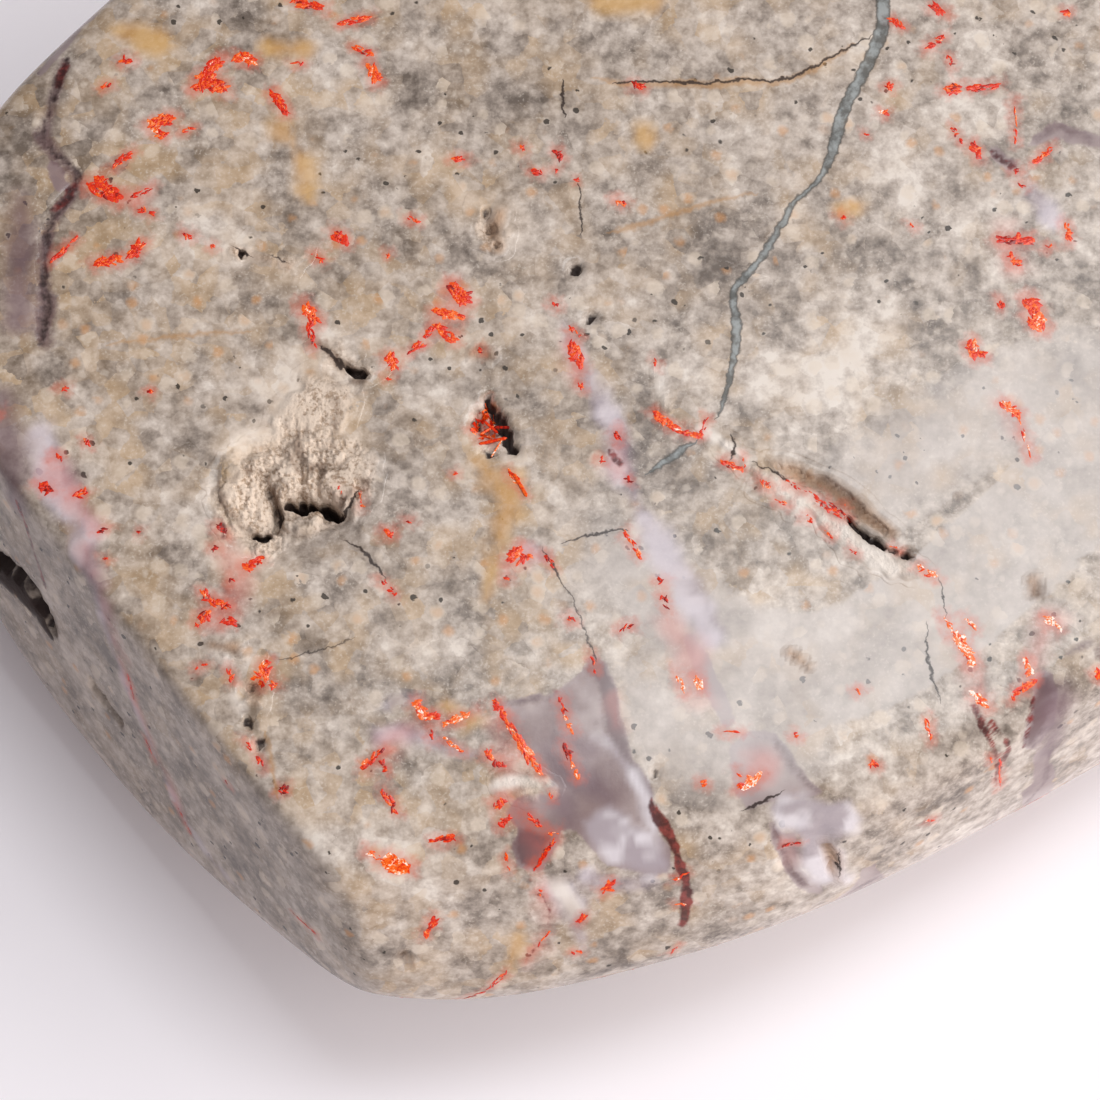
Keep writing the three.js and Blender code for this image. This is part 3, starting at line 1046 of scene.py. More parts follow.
# Clasts of slightly different tone, bent by the fraying noise.
bend = put(tree, "ShaderNodeVectorMath", {0: fray_noise, 2: where}, operation="MULTIPLY_ADD")
bend.inputs[1].default_value = (0.7 * MM, -0.6 * MM, 0.6 * MM)
clast_away, clast = grains(tree, bend.outputs[0], CLAST_SIZE)
speck_away, speck_pick = grains(tree, bend.outputs[0], SPECK_SIZE)

unrest = maths(tree, "SUBTRACT", mottle, 0.5)
unrest = weighted(tree, unrest, maths(tree, "SUBTRACT", fleck, 0.5), 0.15)
unrest = weighted(tree, unrest, maths(tree, "SUBTRACT", clast[0], 0.5), 0.13)
tone = weighted(tree, stored(tree, "tone"), unrest, stored(tree, "unrest"))
tones = put(tree, "ShaderNodeValToRGB", {0: tone})
for _ in ROCK_TONES[2:]:
    tones.color_ramp.elements.new(0.5)
for element, (position, tint) in zip(tones.color_ramp.elements, ROCK_TONES):
    element.position = position
    element.color = tint
colour = tones.outputs[0]
tan = maths(tree, "MULTIPLY", stored(tree, "warmth"), ramp(tree, clast[1], 0.1, 0.9, 0.1, 0.55))
colour = over(tree, tan, colour, TAN)
few_clasts = ramp(tree, clast[2], 0.16, 0.12, 0.0, 0.5)
rusty = maths(tree, "MULTIPLY", ramp(tree, clast_away, 0.42, 0.1), few_clasts)
colour = over(tree, rusty, colour, RUSTY)
clast_edge = weighted(tree, clast_away, fray, 0.5)
some_clasts = ramp(tree, clast[0], 0.76, 0.82, 0.0, 0.45)
creamy = maths(tree, "MULTIPLY", ramp(tree, clast_edge, 0.5, 0.3), some_clasts)
colour = over(tree, creamy, colour, CREAM)
pale_edge = weighted(tree, speck_away, fray, 0.8)
some_specks = ramp(tree, speck_pick[0], 0.66, 0.74, 0.0, 0.4)
pale = maths(tree, "MULTIPLY", ramp(tree, pale_edge, 0.5, 0.1), some_specks)
colour = over(tree, pale, colour, PALE)
whiter_clasts = ramp(tree, clast[1], 0.3, 0.8, 0.05, 0.32)
white_fleck = maths(tree, "MULTIPLY", ramp(tree, fleck, 0.56, 0.74), whiter_clasts)
colour = over(tree, white_fleck, colour, WHITE)
speck_edge = weighted(tree, weighted(tree, speck_away, speck_pick[1], -0.22), fray, 0.5)
few_specks = ramp(tree, speck_pick[2], 0.88, 0.9, 0.0, 0.9)
speck = maths(tree, "MULTIPLY", ramp(tree, speck_edge, 0.12, 0.02), few_specks)
colour = over(tree, speck, colour, BLACK)


def laid(name, fraying, low, high, most):
    """The mask of a zone: nought outside it and up to most inside, with a frayed edge."""
    return ramp(tree, weighted(tree, stored(tree, name), fray, fraying), low, high, 0.0, most)


smoke = over(tree, ramp(tree, stored(tree, "tone"), 0.3, 0.7), DARK_SMOKE, LIGHT_SMOKE)
colour = over(tree, laid("window", 0.5, -0.12, 0.2, 0.9), colour, smoke)
colour = over(tree, laid("dusk", 0.8, -0.3, 0.5, 0.85), colour, DUSK)
# The stains, the painted sheen and the painted shade, laid on as one colour.
stain_and_light_node = put(tree, "ShaderNodeAttribute", attribute_name="stain_and_painted_light")
colour = over(tree, stain_and_light_node.outputs["Alpha"], colour, (0, 0, 0, 1))
stain_and_light_inputs = {0: colour, 1: stain_and_light_node.outputs["Color"]}
colour = put(tree, "ShaderNodeVectorMath", stain_and_light_inputs, operation="ADD").outputs[0]
colour = over(tree, laid("halo", 1.6, -0.9, 0.5, 0.5), colour, FLUSH)
wine = over(tree, ramp(tree, mottle, 0.4, 0.62), DARK_WINE, LIGHT_WINE)
colour = over(tree, laid("garnet", 0.5, -0.12, 0.18, 0.9), colour, wine)


def line_mask(name, fraying, softness):
    """One along the thin lines kept under this name, with frayed edges; and the depth inside."""
    BESIDE = 0.5
    away = weighted(tree, stored(tree, name + "_across"), fray, fraying)
    inside = maths(tree, "SUBTRACT", stored(tree, name + "_width"), maths(tree, "ABSOLUTE", away))
    beside = maths(tree, "SUBTRACT", stored(tree, name + "_width"), stored(tree, name + "_away"))
    edge = ramp(tree, inside, -softness, softness)
    return maths(tree, "MULTIPLY", edge, ramp(tree, beside, -BESIDE - 0.1, -BESIDE + 0.1)), inside


rust = line_mask("rust", 0.9, 0.25)[0]
colour = over(tree, maths(tree, "MULTIPLY", rust, 0.55), colour, RUST_LINE)
vein, vein_inside = line_mask("vein", 0.7, 0.1)
vein_core = over(tree, ramp(tree, mottle, 0.36, 0.62), DARK_VEIN, LIGHT_VEIN)
vein_colour = over(tree, ramp(tree, vein_inside, 0.0, 0.3), VEIN_EDGE, vein_core)
colour = over(tree, maths(tree, "MULTIPLY", vein, 0.88), colour, vein_colour)

# The crumbs are painted lighter on their tops and darker in the gaps between them: painted light and
# shade.
crumb_height = weighted(tree, stored(tree, "height"), fray, 0.8)
crumb_height = weighted(tree, crumb_height, maths(tree, "SUBTRACT", fleck, 0.5), 1.2)
crumb_light_and_shade = over(tree, ramp(tree, crumb_height, 0.0, 0.5), CRUMB_GAP_SHADE, CRUMB_TOP_LIGHT)
colour = over(tree, laid("crumb", 1.5, -0.6, 1.6, 0.85), colour, crumb_light_and_shade)
# Painted shade in the creases.
colour = over(tree, laid("crease_shade", 1.2, -0.35, 0.5, 0.7), colour, CREASE_SHADE_COLOUR)
# Painted shade in the open cracks and holes.
crack_shade = ramp(tree, weighted(tree, stored(tree, "crack_shade"), fray, 0.8), 0.15, 0.6, 0.0, 0.95)
colour = over(tree, crack_shade, colour, CRACK_SHADE_COLOUR)
# Dark lines of the hair cracks, and the painted shade of the open slits.
slit = line_mask("slit", 0.9, 0.08)[0]
colour = over(tree, maths(tree, "MULTIPLY", slit, 0.9), colour, HAIRLINE_AND_SLIT_SHADE)

tree.links.new(colour, surface.inputs["Base Color"])
surface.inputs["Specular IOR Level"].default_value = MIRRORING
rough = weighted(tree, POLISH, stored(tree, "dull"), 0.6)
tree.links.new(rough, surface.inputs["Roughness"])
grit = maths(tree, "MULTIPLY", mottle, weighted(tree, 0.02, stored(tree, "dull"), 0.4))
bump = put(tree, "ShaderNodeBump", {"Height": grit, "Strength": 1.0, "Distance": 0.8 * MM})
tree.links.new(bump.outputs["Normal"], surface.inputs["Normal"])

stone_mesh.materials.append(rock)
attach(stone, "root")
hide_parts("stone")

# The crumbly ground. Where the rock is weathered and soft, the vug, the pits and the lips of the
# cracks are rough, matt and full of crumbs. Each patch is a fine sheet over a box of pixels, which
# dives under the polished skin at its edge.
PATCHES = [
    # Name, and the box of pixels.
    ("vug", 190, 322, 402, 582),
    ("crack_lip", 682, 410, 940, 598),
    ("back_pit", 452, 180, 536, 276),
    ("left_crack", 212, 224, 326, 290),
    ("left_pit", 186, 626, 282, 740),
    ("window_sill", 474, 748, 574, 820),
]
PATCH_STEP = 1.1
PATCH_LIFT = 0.012
KEEL_DEPTH = 14
DIVE_START, DIVE_END = -0.9, -2.4
marked = [(stone_mesh, skin, skin_normal)]


def crumbly_patch(name, left, top, right, bottom):
    """A closed sheet: the worn skin at each pixel of a box, and below it one point deep in the stone
    that its rim runs down to."""
    grid_x, grid_y = np.meshgrid(np.arange(left, right, PATCH_STEP), np.arange(top, bottom, PATCH_STEP))
    points = seen_at(np.column_stack([grid_x.ravel(), grid_y.ravel()]))
    points = np.vstack([points, points.mean(axis=0)])
    normals = skin_normals(points)
    sunk, crumb, crack_shade, height = relief(points, normals)
    rough = np.maximum(crumb, zone(bent(points), normals, ZONES["umber"]))
    sunk = sunk - PATCH_LIFT + 1 - smooth_step(DIVE_END, DIVE_START, rough)
    sunk[-1] = KEEL_DEPTH
    keel = len(points) - 1
    spot = np.arange(keel).reshape(grid_x.shape)
    faces = np.stack([spot[:-1, :-1], spot[1:, :-1], spot[1:, 1:], spot[:-1, 1:]], axis=2)
    faces = faces.reshape(-1, 4).tolist()
    rim = np.concatenate([spot[0, :-1], spot[:-1, -1], spot[-1, :0:-1], spot[:0:-1, 0]])
    faces += np.stack([rim, np.roll(rim, -1), np.full(len(rim), keel)], axis=1).tolist()
    mesh = bpy.data.meshes.new(name)
    mesh.from_pydata(((points - normals * sunk[:, None]) * MM).tolist(), [], faces)
    mesh.polygons.foreach_set("use_smooth", np.ones(len(faces), bool))
    mark(mesh, points, normals, crumb, crack_shade, height)
    marked.append((mesh, points, normals))
    mesh.materials.append(rock)
    patch = bpy.data.objects.new(name, mesh)
    bpy.context.scene.collection.objects.link(patch)
    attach(patch, "root")


for patch in PATCHES:
    crumbly_patch(*patch)


def over_skin(points, lift):
    """Points moved onto the worn skin of the stone, a lift above it."""
    on = skin_from_heart(points - HEART)
    outward = skin_normals(on)
    return on + outward * (lift - relief(on, outward)[0])[:, None]


# The red crystals. Blades and needles of red mineral grew in bunches through the rock and were
# ground flush with it, so they show as ragged red and orange marks in the polish. Each bunch runs
# between two pixels and has a half width, and a tint from deep red to orange; the highest tints
# are a painted sheen, pale orange up to near white.
BUNCHES = [
    # Upper left.
    (293, 0, 325, 8, 5, 0.6), (339, 24, 370, 17, 4, 0.6), (354, 47, 370, 54, 4, 0.6),
    (368, 62, 378, 82, 5, 0.7), (122, 62, 133, 59, 4, 0.5), (103, 88, 111, 82, 3, 0.5),
    (195, 88, 220, 60, 9, 0.6), (205, 82, 226, 88, 7, 0.6), (236, 57, 253, 60, 6, 0.7),
    (294, 64, 302, 64, 3, 0.5), (272, 93, 288, 113, 5, 0.5), (150, 128, 170, 117, 7, 0.7),
    (155, 134, 166, 136, 4, 0.7), (181, 132, 193, 128, 3, 0.6), (114, 166, 132, 152, 4, 0.5),
    (90, 185, 118, 198, 9, 0.5), (100, 178, 106, 190, 6, 0.5), (130, 198, 152, 188, 3, 0.4),
    (136, 208, 152, 214, 3, 0.4), (50, 262, 76, 238, 3, 0.5), (94, 264, 120, 259, 6, 0.6),
    (130, 256, 144, 242, 5, 0.5), (182, 232, 191, 238, 3, 0.5), (211, 246, 214, 247, 3, 0.5),
    (334, 234, 346, 242, 6, 0.5), (312, 254, 323, 261, 3, 0.5), (305, 305, 316, 322, 7, 0.7),
    (309, 325, 314, 348, 4, 0.4), (388, 354, 394, 368, 5, 0.6), (60, 387, 68, 390, 3, 0.6),
    (150, 391, 152, 393, 3, 0.2),
    # Middle.
    (453, 158, 466, 160, 4, 0.5), (518, 146, 524, 150, 3, 0.4), (532, 172, 542, 173, 4, 0.4),
    (555, 150, 561, 158, 4, 0.3), (555, 169, 558, 170, 2, 0.4), (576, 180, 579, 181, 2, 0.4),
    (616, 201, 625, 204, 3, 0.8), (408, 218, 418, 221, 3, 0.6), (387, 255, 390, 255, 2, 0.6),
    (452, 285, 466, 302, 8, 0.6), (436, 310, 462, 318, 5, 0.7), (436, 326, 454, 340, 5, 0.6),
    (426, 336, 434, 328, 4, 0.5), (408, 352, 423, 344, 4, 0.5), (386, 378, 389, 380, 2, 0.6),
    (553, 302, 558, 306, 3, 0.4), (570, 328, 580, 336, 3, 0.7), (572, 344, 580, 366, 6, 0.6),
    (578, 381, 582, 388, 3, 0.6), (478, 349, 483, 352, 3, 0.2), (654, 361, 657, 363, 3, 0.7),
    (633, 84, 643, 88, 4, 0.4), (655, 413, 672, 428, 5, 0.7), (672, 428, 700, 436, 4, 0.7),
    (700, 436, 708, 418, 3, 0.5), (722, 461, 742, 470, 4, 0.6), (742, 458, 746, 470, 2, 0.5),
    (615, 432, 621, 442, 3, 0.2), (599, 459, 603, 461, 3, 0.3), (626, 479, 632, 481, 3, 0.2),
    (625, 532, 640, 557, 3, 0.7), (659, 580, 665, 582, 3, 0.3), (662, 594, 668, 610, 3, 0.2),
    (620, 630, 633, 625, 3, 0.4), (677, 674, 684, 692, 3, 1.1), (695, 678, 702, 689, 4, 1.1),
    # The long crack and right of it.
    (762, 482, 772, 486, 3, 0.5), (776, 500, 790, 507, 2, 0.5), (787, 481, 798, 487, 3, 0.3),
    (798, 488, 813, 494, 2, 0.5), (814, 496, 834, 512, 4, 0.4), (830, 508, 850, 520, 4, 0.5),
    (824, 530, 833, 538, 2, 0.7), (804, 518, 812, 522, 2, 0.6), (852, 552, 856, 554, 2, 0.5),
    (890, 546, 899, 550, 2, 0.6), (917, 566, 936, 578, 4, 0.9), (1002, 404, 1018, 414, 5, 0.8),
    (1018, 414, 1030, 458, 2, 0.9), (945, 616, 952, 630, 3, 1.0), (956, 634, 966, 652, 5, 1.0),
    (966, 652, 974, 666, 5, 1.1), (965, 620, 974, 628, 3, 1.0), (972, 692, 988, 706, 4, 1.0),
    (1045, 618, 1060, 630, 4, 1.25), (1016, 694, 1036, 678, 4, 0.7), (1026, 660, 1030, 676, 4, 1.0),
    (1000, 760, 1000, 788, 2, 0.6), (990, 758, 992, 762, 2, 0.7), (1096, 672, 1100, 678, 4, 0.7),
    (1018, 690, 1012, 698, 3, 0.6), (927, 720, 931, 741, 3, 0.8), (871, 764, 876, 766, 4, 0.5),
    (928, 820, 934, 820, 3, 0.6), (856, 690, 861, 692, 3, 0.6), (794, 734, 798, 736, 3, 0.4),
    (720, 732, 745, 732, 1, 0.6),
    # Upper right.
    (932, 6, 946, 13, 5, 0.4), (890, 18, 902, 27, 4, 0.6), (926, 48, 933, 44, 4, 0.5),
    (936, 42, 943, 37, 4, 0.5), (948, 56, 952, 66, 3, 0.5), (886, 86, 892, 87, 4, 0.5),
    (881, 112, 886, 113, 4, 0.9), (864, 134, 868, 135, 2, 0.6), (944, 92, 958, 88, 5, 0.5),
    (968, 90, 1000, 85, 4, 0.5), (1016, 100, 1015, 142, 2, 0.7), (953, 128, 962, 142, 3, 0.4),
    (972, 143, 979, 156, 5, 0.6), (1034, 162, 1052, 148, 4, 0.6), (1017, 183, 1024, 187, 2, 0.5),
    (1014, 172, 1020, 170, 3, 0.1), (1000, 240, 1030, 240, 5, 0.3), (1010, 256, 1020, 265, 4, 0.6),
    (1066, 224, 1070, 240, 4, 0.7), (1045, 248, 1053, 246, 2, 0.6), (1000, 300, 1003, 308, 4, 0.5),
    (1028, 300, 1036, 312, 8, 0.7), (1030, 318, 1044, 328, 8, 0.8), (970, 342, 976, 356, 6, 0.7),
    (978, 354, 986, 356, 4, 0.6), (842, 217, 844, 218, 3, 0.6), (909, 225, 914, 227, 2, 0.6),
    (1064, 12, 1069, 13, 4, 0.5),
    # Left and lower left.
    (52, 456, 62, 458, 3, 0.4), (40, 484, 50, 490, 5, 0.3), (75, 495, 86, 493, 4, 0.5),
    (85, 440, 89, 446, 3, 0.4), (97, 532, 108, 527, 3, 0.1), (104, 558, 107, 560, 2, 0.3),
    (137, 531, 139, 533, 2, 0.5), (338, 486, 341, 495, 2, 0.7), (360, 490, 362, 506, 3, 0.6),
    (218, 526, 228, 534, 4, 0.1), (211, 548, 218, 547, 3, 0.2), (246, 568, 262, 558, 5, 0.5),
    (203, 592, 208, 600, 4, 0.6), (212, 600, 222, 606, 5, 0.6), (202, 618, 208, 612, 5, 0.5),
    (222, 620, 234, 622, 4, 0.5), (223, 604, 228, 608, 4, 0.5), (195, 624, 199, 625, 3, 0.5),
    (230, 580, 233, 582, 3, 0.2), (196, 668, 206, 664, 2, 0.6), (228, 668, 232, 682, 3, 0.6),
    (260, 684, 266, 668, 7, 0.65), (258, 758, 262, 766, 3, 0.3), (242, 739, 252, 750, 2, 0.5),
    (262, 666, 268, 662, 4, 0.7), (270, 684, 277, 686, 4, 0.7), (384, 533, 392, 534, 4, 0.6),
    (381, 580, 385, 584, 3, 0.4), (388, 588, 396, 594, 3, 0.4), (280, 792, 287, 788, 4, 0.1),
    (405, 520, 412, 522, 2, 0.5), (454, 473, 456, 474, 2, 0.5), (506, 577, 509, 580, 3, 0.6),
    (508, 561, 521, 548, 5, 0.65), (516, 562, 530, 555, 4, 0.5), (546, 556, 555, 569, 3, 0.15),
    (482, 427, 492, 436, 6, 0.8), (483, 412, 497, 428, 4, 0.75), (479, 413, 487, 409, 2, 0.8),
    (472, 429, 478, 432, 3, 0.7), (509, 471, 526, 494, 3, 0.8), (567, 618, 574, 622, 3, 0.4),
    (591, 655, 595, 672, 2, 0.4), (416, 702, 424, 716, 5, 0.9), (424, 716, 438, 716, 4, 0.7),
    (428, 728, 433, 738, 3, 0.2), (444, 724, 470, 712, 4, 1.0), (444, 738, 462, 752, 3, 1.0),
    (362, 768, 384, 750, 4, 0.5), (380, 758, 385, 772, 3, 0.5), (383, 792, 396, 812, 4, 0.4),
    (432, 842, 454, 838, 4, 0.5), (368, 851, 384, 860, 3, 0.9), (384, 860, 408, 868, 9, 0.9),
    (425, 936, 436, 918, 4, 0.6), (604, 893, 612, 882, 4, 0.6), (580, 922, 586, 915, 4, 0.4),
    (572, 953, 582, 952, 3, 0.5), (670, 954, 678, 945, 2, 0.6),
    # The purple window and the seam below it.
    (495, 702, 505, 716, 4, 0.5), (503, 716, 524, 748, 4, 0.7), (520, 742, 540, 773, 5, 0.9),
    (560, 698, 566, 716, 3, 0.3), (565, 716, 572, 732, 3, 1.1), (566, 746, 570, 760, 4, 0.2),
    (572, 762, 578, 778, 3, 1.0), (486, 752, 492, 760, 4, 0.5), (494, 760, 504, 768, 4, 0.4),
    (494, 806, 506, 800, 4, 0.4), (500, 824, 510, 816, 4, 0.4), (528, 814, 542, 828, 3, 0.6),
    (544, 833, 558, 833, 2, 0.8), (556, 836, 545, 854, 3, 0.5), (545, 854, 532, 872, 3, 0.4),
    (550, 794, 551, 798, 2, 0.7), (506, 856, 510, 872, 2, 0.5), (540, 890, 542, 896, 2, 0.8),
    (674, 880, 690, 872, 3, 0.7), (676, 904, 690, 906, 2, 0.8), (549, 932, 526, 961, 1, 0.5),
    (506, 972, 490, 988, 3, 0.5), (490, 988, 462, 999, 2, 0.4), (738, 788, 748, 782, 3, 0.7),
    (746, 786, 758, 776, 5, 1.05), (740, 776, 735, 770, 1, 0.6), (784, 846, 800, 842, 3, 0.2),
    (702, 783, 706, 784, 3, 0.6),
    # The steep left side.
    (128, 676, 134, 700, 2, 0.2), (146, 740, 154, 760, 2, 0.2), (178, 808, 190, 832, 2, 0.2),
    (292, 912, 318, 936, 2, 0.4), (225, 780, 228, 784, 2, 0.3),
    # The crevice with needles, and the long crack.
    (474, 430, 486, 416, 5, 0.55), (478, 422, 492, 412, 4, 0.7), (486, 410, 490, 401, 2, 0.6),
    (478, 438, 490, 430, 3, 0.8), (828, 501, 845, 515, 3, 0.15), (836, 512, 850, 520, 2, 0.35),
    (777, 499, 789, 505, 2, 0.8), (806, 514, 812, 519, 1.5, 0.8), (825, 531, 832, 537, 1.5, 0.8),
    (850, 550, 856, 552, 1, 0.8), (760, 480, 768, 488, 3, 0.75), (844, 503, 849, 508, 2, 0.9),
]
HIDDEN_BUNCHES = 180
LIFT = 0.02
OUTLINE = 7
red_random = np.random.default_rng(11)
bunches = np.array(BUNCHES, float)
bunch_start, bunch_end = seen_at(bunches[:, :2]), seen_at(bunches[:, 2:4])
bunch_width, bunch_tint = bunches[:, 4] * PIXEL, bunches[:, 5]

# More bunches of the same kind, a few together, on the parts that the view leaves out.
MARGIN = 20
FLOCK = 5
SPREAD = 2.5
LOWEST = 4
flocks = skin_from_heart(red_random.normal(size=(HIDDEN_BUNCHES, 3)) * (1, 1, 0.6))
strewn = np.repeat(flocks, FLOCK, axis=0)
strewn = skin_from_heart(strewn + red_random.normal(0, SPREAD, strewn.shape) - HEART)
facing = (skin_normals(strewn) * (eye - strewn)).sum(axis=1) > 0
framed = (abs(pixels_of(strewn) - FRAME_PIXELS / 2) < FRAME_PIXELS / 2 + MARGIN).all(axis=1)
strewn = strewn[~(facing & framed) & (strewn[:, 2] > LOWEST)][:HIDDEN_BUNCHES]
reach = red_random.uniform(0.2, 1.6, (len(strewn), 1))
strewn_end = skin_from_heart(strewn + reach * red_random.normal(0, 1, strewn.shape) - HEART)
bunch_start = np.concatenate([bunch_start, strewn])
bunch_end = np.concatenate([bunch_end, strewn_end])
bunch_width = np.append(bunch_width, 0.12 + 0.5 * red_random.random(len(strewn)) ** 2)
bunch_tint = np.append(bunch_tint, red_random.uniform(0.2, 0.9, len(strewn)))

# The rock is flushed with red around each bunch.
HALO_REACH = 2
for mesh, points, normals in marked:
    halo = np.full(len(points), -float(HALO_REACH))
    place = bent(points)
    for start, end, half_width in zip(bunch_start, bunch_end, bunch_width):
        bunch_path = np.column_stack([[start, end], [half_width] * 2])
        across, distance, width = measure(place, normals, bunch_path, HALO_REACH)
        halo = np.maximum(halo, width - distance)
    keep(mesh, "halo", halo)

# The blades: the area that one covers, the fewest and most in a bunch, half lengths, and breadths as
# shares of the length.
BLADE_COVER = 0.16
FEWEST, MOST = 4, 60
SHORTEST, LONGEST = 0.16, 0.42
SLIMMEST, BROADEST = 0.3, 0.6
bunch_length = np.linalg.norm(bunch_end - bunch_start, axis=1)
blade_count = 1.6 * (bunch_length + 2 * bunch_width) * 2 * bunch_width / BLADE_COVER
bed = np.repeat(np.arange(len(bunch_start)), np.clip(blade_count, FEWEST, MOST).astype(int))
blades = len(bed)
run = (bunch_end - bunch_start)[bed]
run = run / np.maximum(np.linalg.norm(run, axis=1, keepdims=True), 0.01)
part = red_random.random((blades, 1))
middle = bunch_start[bed] + part * (bunch_end - bunch_start)[bed]
up = skin_normals(middle)
aside = np.cross(up, run)
thinning = 1 - 0.6 * np.abs(2 * part - 1) ** 3
middle = middle + aside * red_random.uniform(-1, 1, (blades, 1)) * bunch_width[bed, None] * thinning * 0.8
slimness = np.clip(3 * bunch_width / (bunch_length + bunch_width), 0.12, 0.7)[bed, None]
swing = red_random.normal(0, 1, (blades, 1)) * slimness
lengthwise = run * np.cos(swing) + aside * np.sin(swing)
crosswise = np.cross(up, lengthwise)
broadness = np.clip(bunch_width[bed, None] / 0.35, 0.6, 1.3)
half_length = red_random.uniform(SHORTEST, LONGEST, (blades, 1)) * broadness
half_length = half_length * (1 + 0.12 / slimness)
half_breadth = half_length * red_random.uniform(SLIMMEST, BROADEST, (blades, 1)) / (1 + 0.12 / slimness)

turn = 2 * np.pi * (np.arange(OUTLINE) + red_random.uniform(-0.3, 0.3, (blades, OUTLINE))) / OUTLINE
ragged = red_random.uniform(0.65, 1.15, (blades, OUTLINE))
outline = middle[:, None] + (lengthwise * half_length)[:, None] * (np.cos(turn) * ragged)[..., None]
outline = outline + (crosswise * half_breadth)[:, None] * (np.sin(turn) * ragged)[..., None]
blade_points = np.concatenate([
    over_skin(outline.reshape(-1, 3), 0.4 * LIFT).reshape(blades, OUTLINE, 3),
    over_skin(middle, LIFT * 1.5)[:, None],
    over_skin(middle, -6 * LIFT)[:, None],
], axis=1)
corner = np.arange(OUTLINE)
following = (corner + 1) % OUTLINE
blade_faces = np.concatenate([
    np.stack([corner, following, np.full(OUTLINE, OUTLINE)], axis=1),
    np.stack([following, corner, np.full(OUTLINE, OUTLINE + 1)], axis=1),
])
red_faces = (np.arange(blades)[:, None, None] * (OUTLINE + 2) + blade_faces).reshape(-1, 3)
red_mesh = bpy.data.meshes.new("red_crystals")
red_mesh.from_pydata((blade_points.reshape(-1, 3) * MM).tolist(), [], red_faces.tolist())
blade_tint = np.clip(bunch_tint[bed] + red_random.normal(0, 0.2, blades), 0, 1.3)
keep(red_mesh, "tint", np.repeat(blade_tint, OUTLINE + 2))
red_crystals = bpy.data.objects.new("red_crystals", red_mesh)
bpy.context.scene.collection.objects.link(red_crystals)

red, tree, surface = new_material("red_crystal")
where = put(tree, "ShaderNodeTexCoord").outputs["Object"]
flicker = maths(tree, "SUBTRACT", noise(tree, where, 0.2, 1.0), 0.5)
tint_and_sheen = weighted(tree, stored(tree, "tint"), flicker, 1.3)
colour = over(tree, ramp(tree, tint_and_sheen, -0.1, 0.45), shade(120, 12, 8), shade(214, 40, 6))
colour = over(tree, ramp(tree, tint_and_sheen, 0.5, 0.95), colour, shade(240, 100, 18))
# Painted sheen: the highest tints turn pale orange and near white.
colour = over(tree, ramp(tree, tint_and_sheen, 0.95, 1.2), colour, shade(246, 150, 96))
colour = over(tree, ramp(tree, tint_and_sheen, 1.15, 1.35), colour, shade(250, 228, 216))
tree.links.new(colour, surface.inputs["Base Color"])
surface.inputs["Roughness"].default_value = 0.28
surface.inputs["Specular IOR Level"].default_value = 0.35
red_mesh.materials.append(red)
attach(red_crystals, "root")

# The needles. In the open crevice the red mineral stands free, as thin six-sided needles that
# cross each other; each runs between two pixels, at two heights over the skin.
NEEDLES = [
    # Pixel and height of both ends, half thickness in pixels, and tint.
    (478, 444, -0.1, 507, 438, 0.05, 1.7, 0.6),
    (491, 457, -0.1, 502, 440, 0.2, 0.9, 1.15),
    (508, 471, -0.05, 520, 480, 0.0, 1.6, 0.6),
    (513, 473, 0.0, 527, 497, 0.0, 2.0, 0.75),
    (494, 425, -0.6, 510, 426, -0.4, 1.4, 0.1),
    (484, 420, -0.3, 498, 431, -0.6, 1.4, 0.5),
    (480, 434, -0.2, 494, 424, -0.6, 1.3, 0.8),
]
NEEDLE_SIDES = 6
NEEDLE_STATIONS = np.array([0, 0.08, 0.92, 1])
NEEDLE_GIRTH = np.array([0.1, 1, 1, 0.1])
needles = np.array(NEEDLES, float)


def raised(pixels, heights):
    """Points at the given heights over the skin that shows at the pixels."""
    on = seen_at(pixels)
    return on + skin_normals(on) * heights[:, None]


needle_start = raised(needles[:, :2], needles[:, 2])
needle_end = raised(needles[:, 3:5], needles[:, 5])
needle_run = needle_end - needle_start
needle_side = np.cross(needle_run, view_back)
needle_side = needle_side / np.linalg.norm(needle_side, axis=1, keepdims=True)
needle_top = np.cross(needle_side, needle_run)
needle_top = needle_top / np.linalg.norm(needle_top, axis=1, keepdims=True)
spin = 2 * np.pi * np.arange(NEEDLE_SIDES) / NEEDLE_SIDES
girth = needles[:, 6, None, None] * PIXEL * NEEDLE_GIRTH[:, None]
needle_points = (
    needle_start[:, None, None]
    + needle_run[:, None, None] * NEEDLE_STATIONS[:, None, None]
    + needle_side[:, None, None] * (girth * np.cos(spin))[..., None]
    + needle_top[:, None, None] * (girth * np.sin(spin))[..., None]
)
stations = len(NEEDLE_STATIONS)
vertex = np.arange(len(needles) * stations * NEEDLE_SIDES).reshape(-1, stations, NEEDLE_SIDES)
here, along = vertex[:, :-1], vertex[:, 1:]
needle_faces = np.stack([here, np.roll(here, -1, axis=2), np.roll(along, -1, axis=2), along], axis=3)
needle_faces = needle_faces.reshape(-1, 4).tolist() + vertex[:, 0, ::-1].tolist() + vertex[:, -1].tolist()
needle_mesh = bpy.data.meshes.new("needles")
needle_mesh.from_pydata((needle_points.reshape(-1, 3) * MM).tolist(), [], needle_faces)
keep(needle_mesh, "tint", np.repeat(needles[:, 7], stations * NEEDLE_SIDES))
needle_object = bpy.data.objects.new("needles", needle_mesh)
bpy.context.scene.collection.objects.link(needle_object)
needle_mesh.materials.append(red)
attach(needle_object, "root")

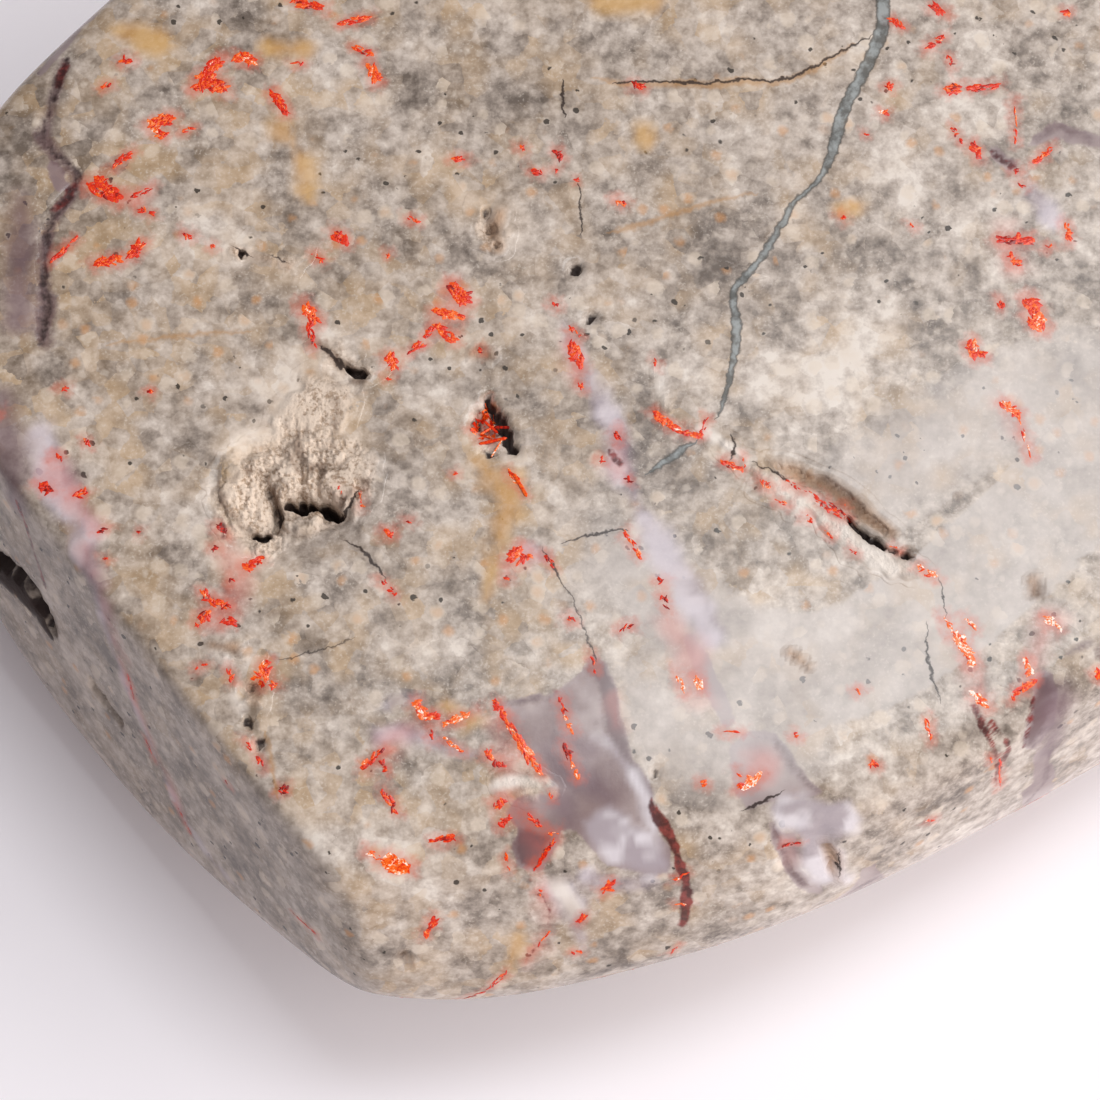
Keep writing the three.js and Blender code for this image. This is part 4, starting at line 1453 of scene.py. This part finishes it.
# The ground and the light: a plain pale sheet, a soft box overhead, broad lights from the right and
# the front, of which the polish does not mirror the front one, and a weak even light. Their places
# and sizes are in metres.
GROUND_SIDE = 3.0
GROUND_COLOUR = (0.93, 0.89, 0.92, 1)
EVEN_TINT = (1.0, 0.94, 0.98, 1)
EVEN_STRENGTH = 0.28
ground_corners = np.array([(-1, -1, 0), (1, -1, 0), (1, 1, 0), (-1, 1, 0)]) * GROUND_SIDE / 2
ground_mesh = bpy.data.meshes.new("ground")
ground_mesh.from_pydata(ground_corners.tolist(), [], [(0, 1, 2, 3)])
ground = bpy.data.objects.new("ground", ground_mesh)
bpy.context.scene.collection.objects.link(ground)
paper, tree, surface = new_material("pale_ground")
surface.inputs["Base Color"].default_value = GROUND_COLOUR
surface.inputs["Roughness"].default_value = 0.9
ground_mesh.materials.append(paper)


def soft_light(name, place, aim, size, power, tint, mirrored=True):
    """A square soft light at a place, turned to face the aim. The polish may mirror it or not."""
    data = bpy.data.lights.new(name, "AREA")
    data.shape = "SQUARE"
    data.size = size
    data.energy = power
    data.color = tint
    light = bpy.data.objects.new(name, data)
    light.visible_glossy = mirrored
    light.location = place
    to_aim = np.array(aim) - place
    flat = np.hypot(to_aim[0], to_aim[1])
    light.rotation_euler = (np.arctan2(flat, -to_aim[2]), 0, np.arctan2(-to_aim[0], to_aim[1]))
    bpy.context.scene.collection.objects.link(light)


soft_light(
    "overhead", place=(0.22, 0.15, 1.04), aim=(-0.01, -0.02, 0.037), size=0.36, power=3.5,
    tint=(0.93, 0.97, 1.0),
)
soft_light("right", place=(1.1, 0.1, 0.8), aim=(0, 0, 0.03), size=1.5, power=16.5, tint=(1.0, 0.98, 0.96))
soft_light(
    "front", place=(0.75, -0.95, 0.5), aim=(0, -0.05, 0.0), size=0.8, power=8.6, tint=(1.0, 0.98, 0.98),
    mirrored=False,
)
world = bpy.data.worlds.new("even_light")
world.use_nodes = True
world.node_tree.nodes["Background"].inputs["Color"].default_value = EVEN_TINT
world.node_tree.nodes["Background"].inputs["Strength"].default_value = EVEN_STRENGTH
bpy.context.scene.world = world
bpy.context.scene.view_settings.view_transform = "Standard"
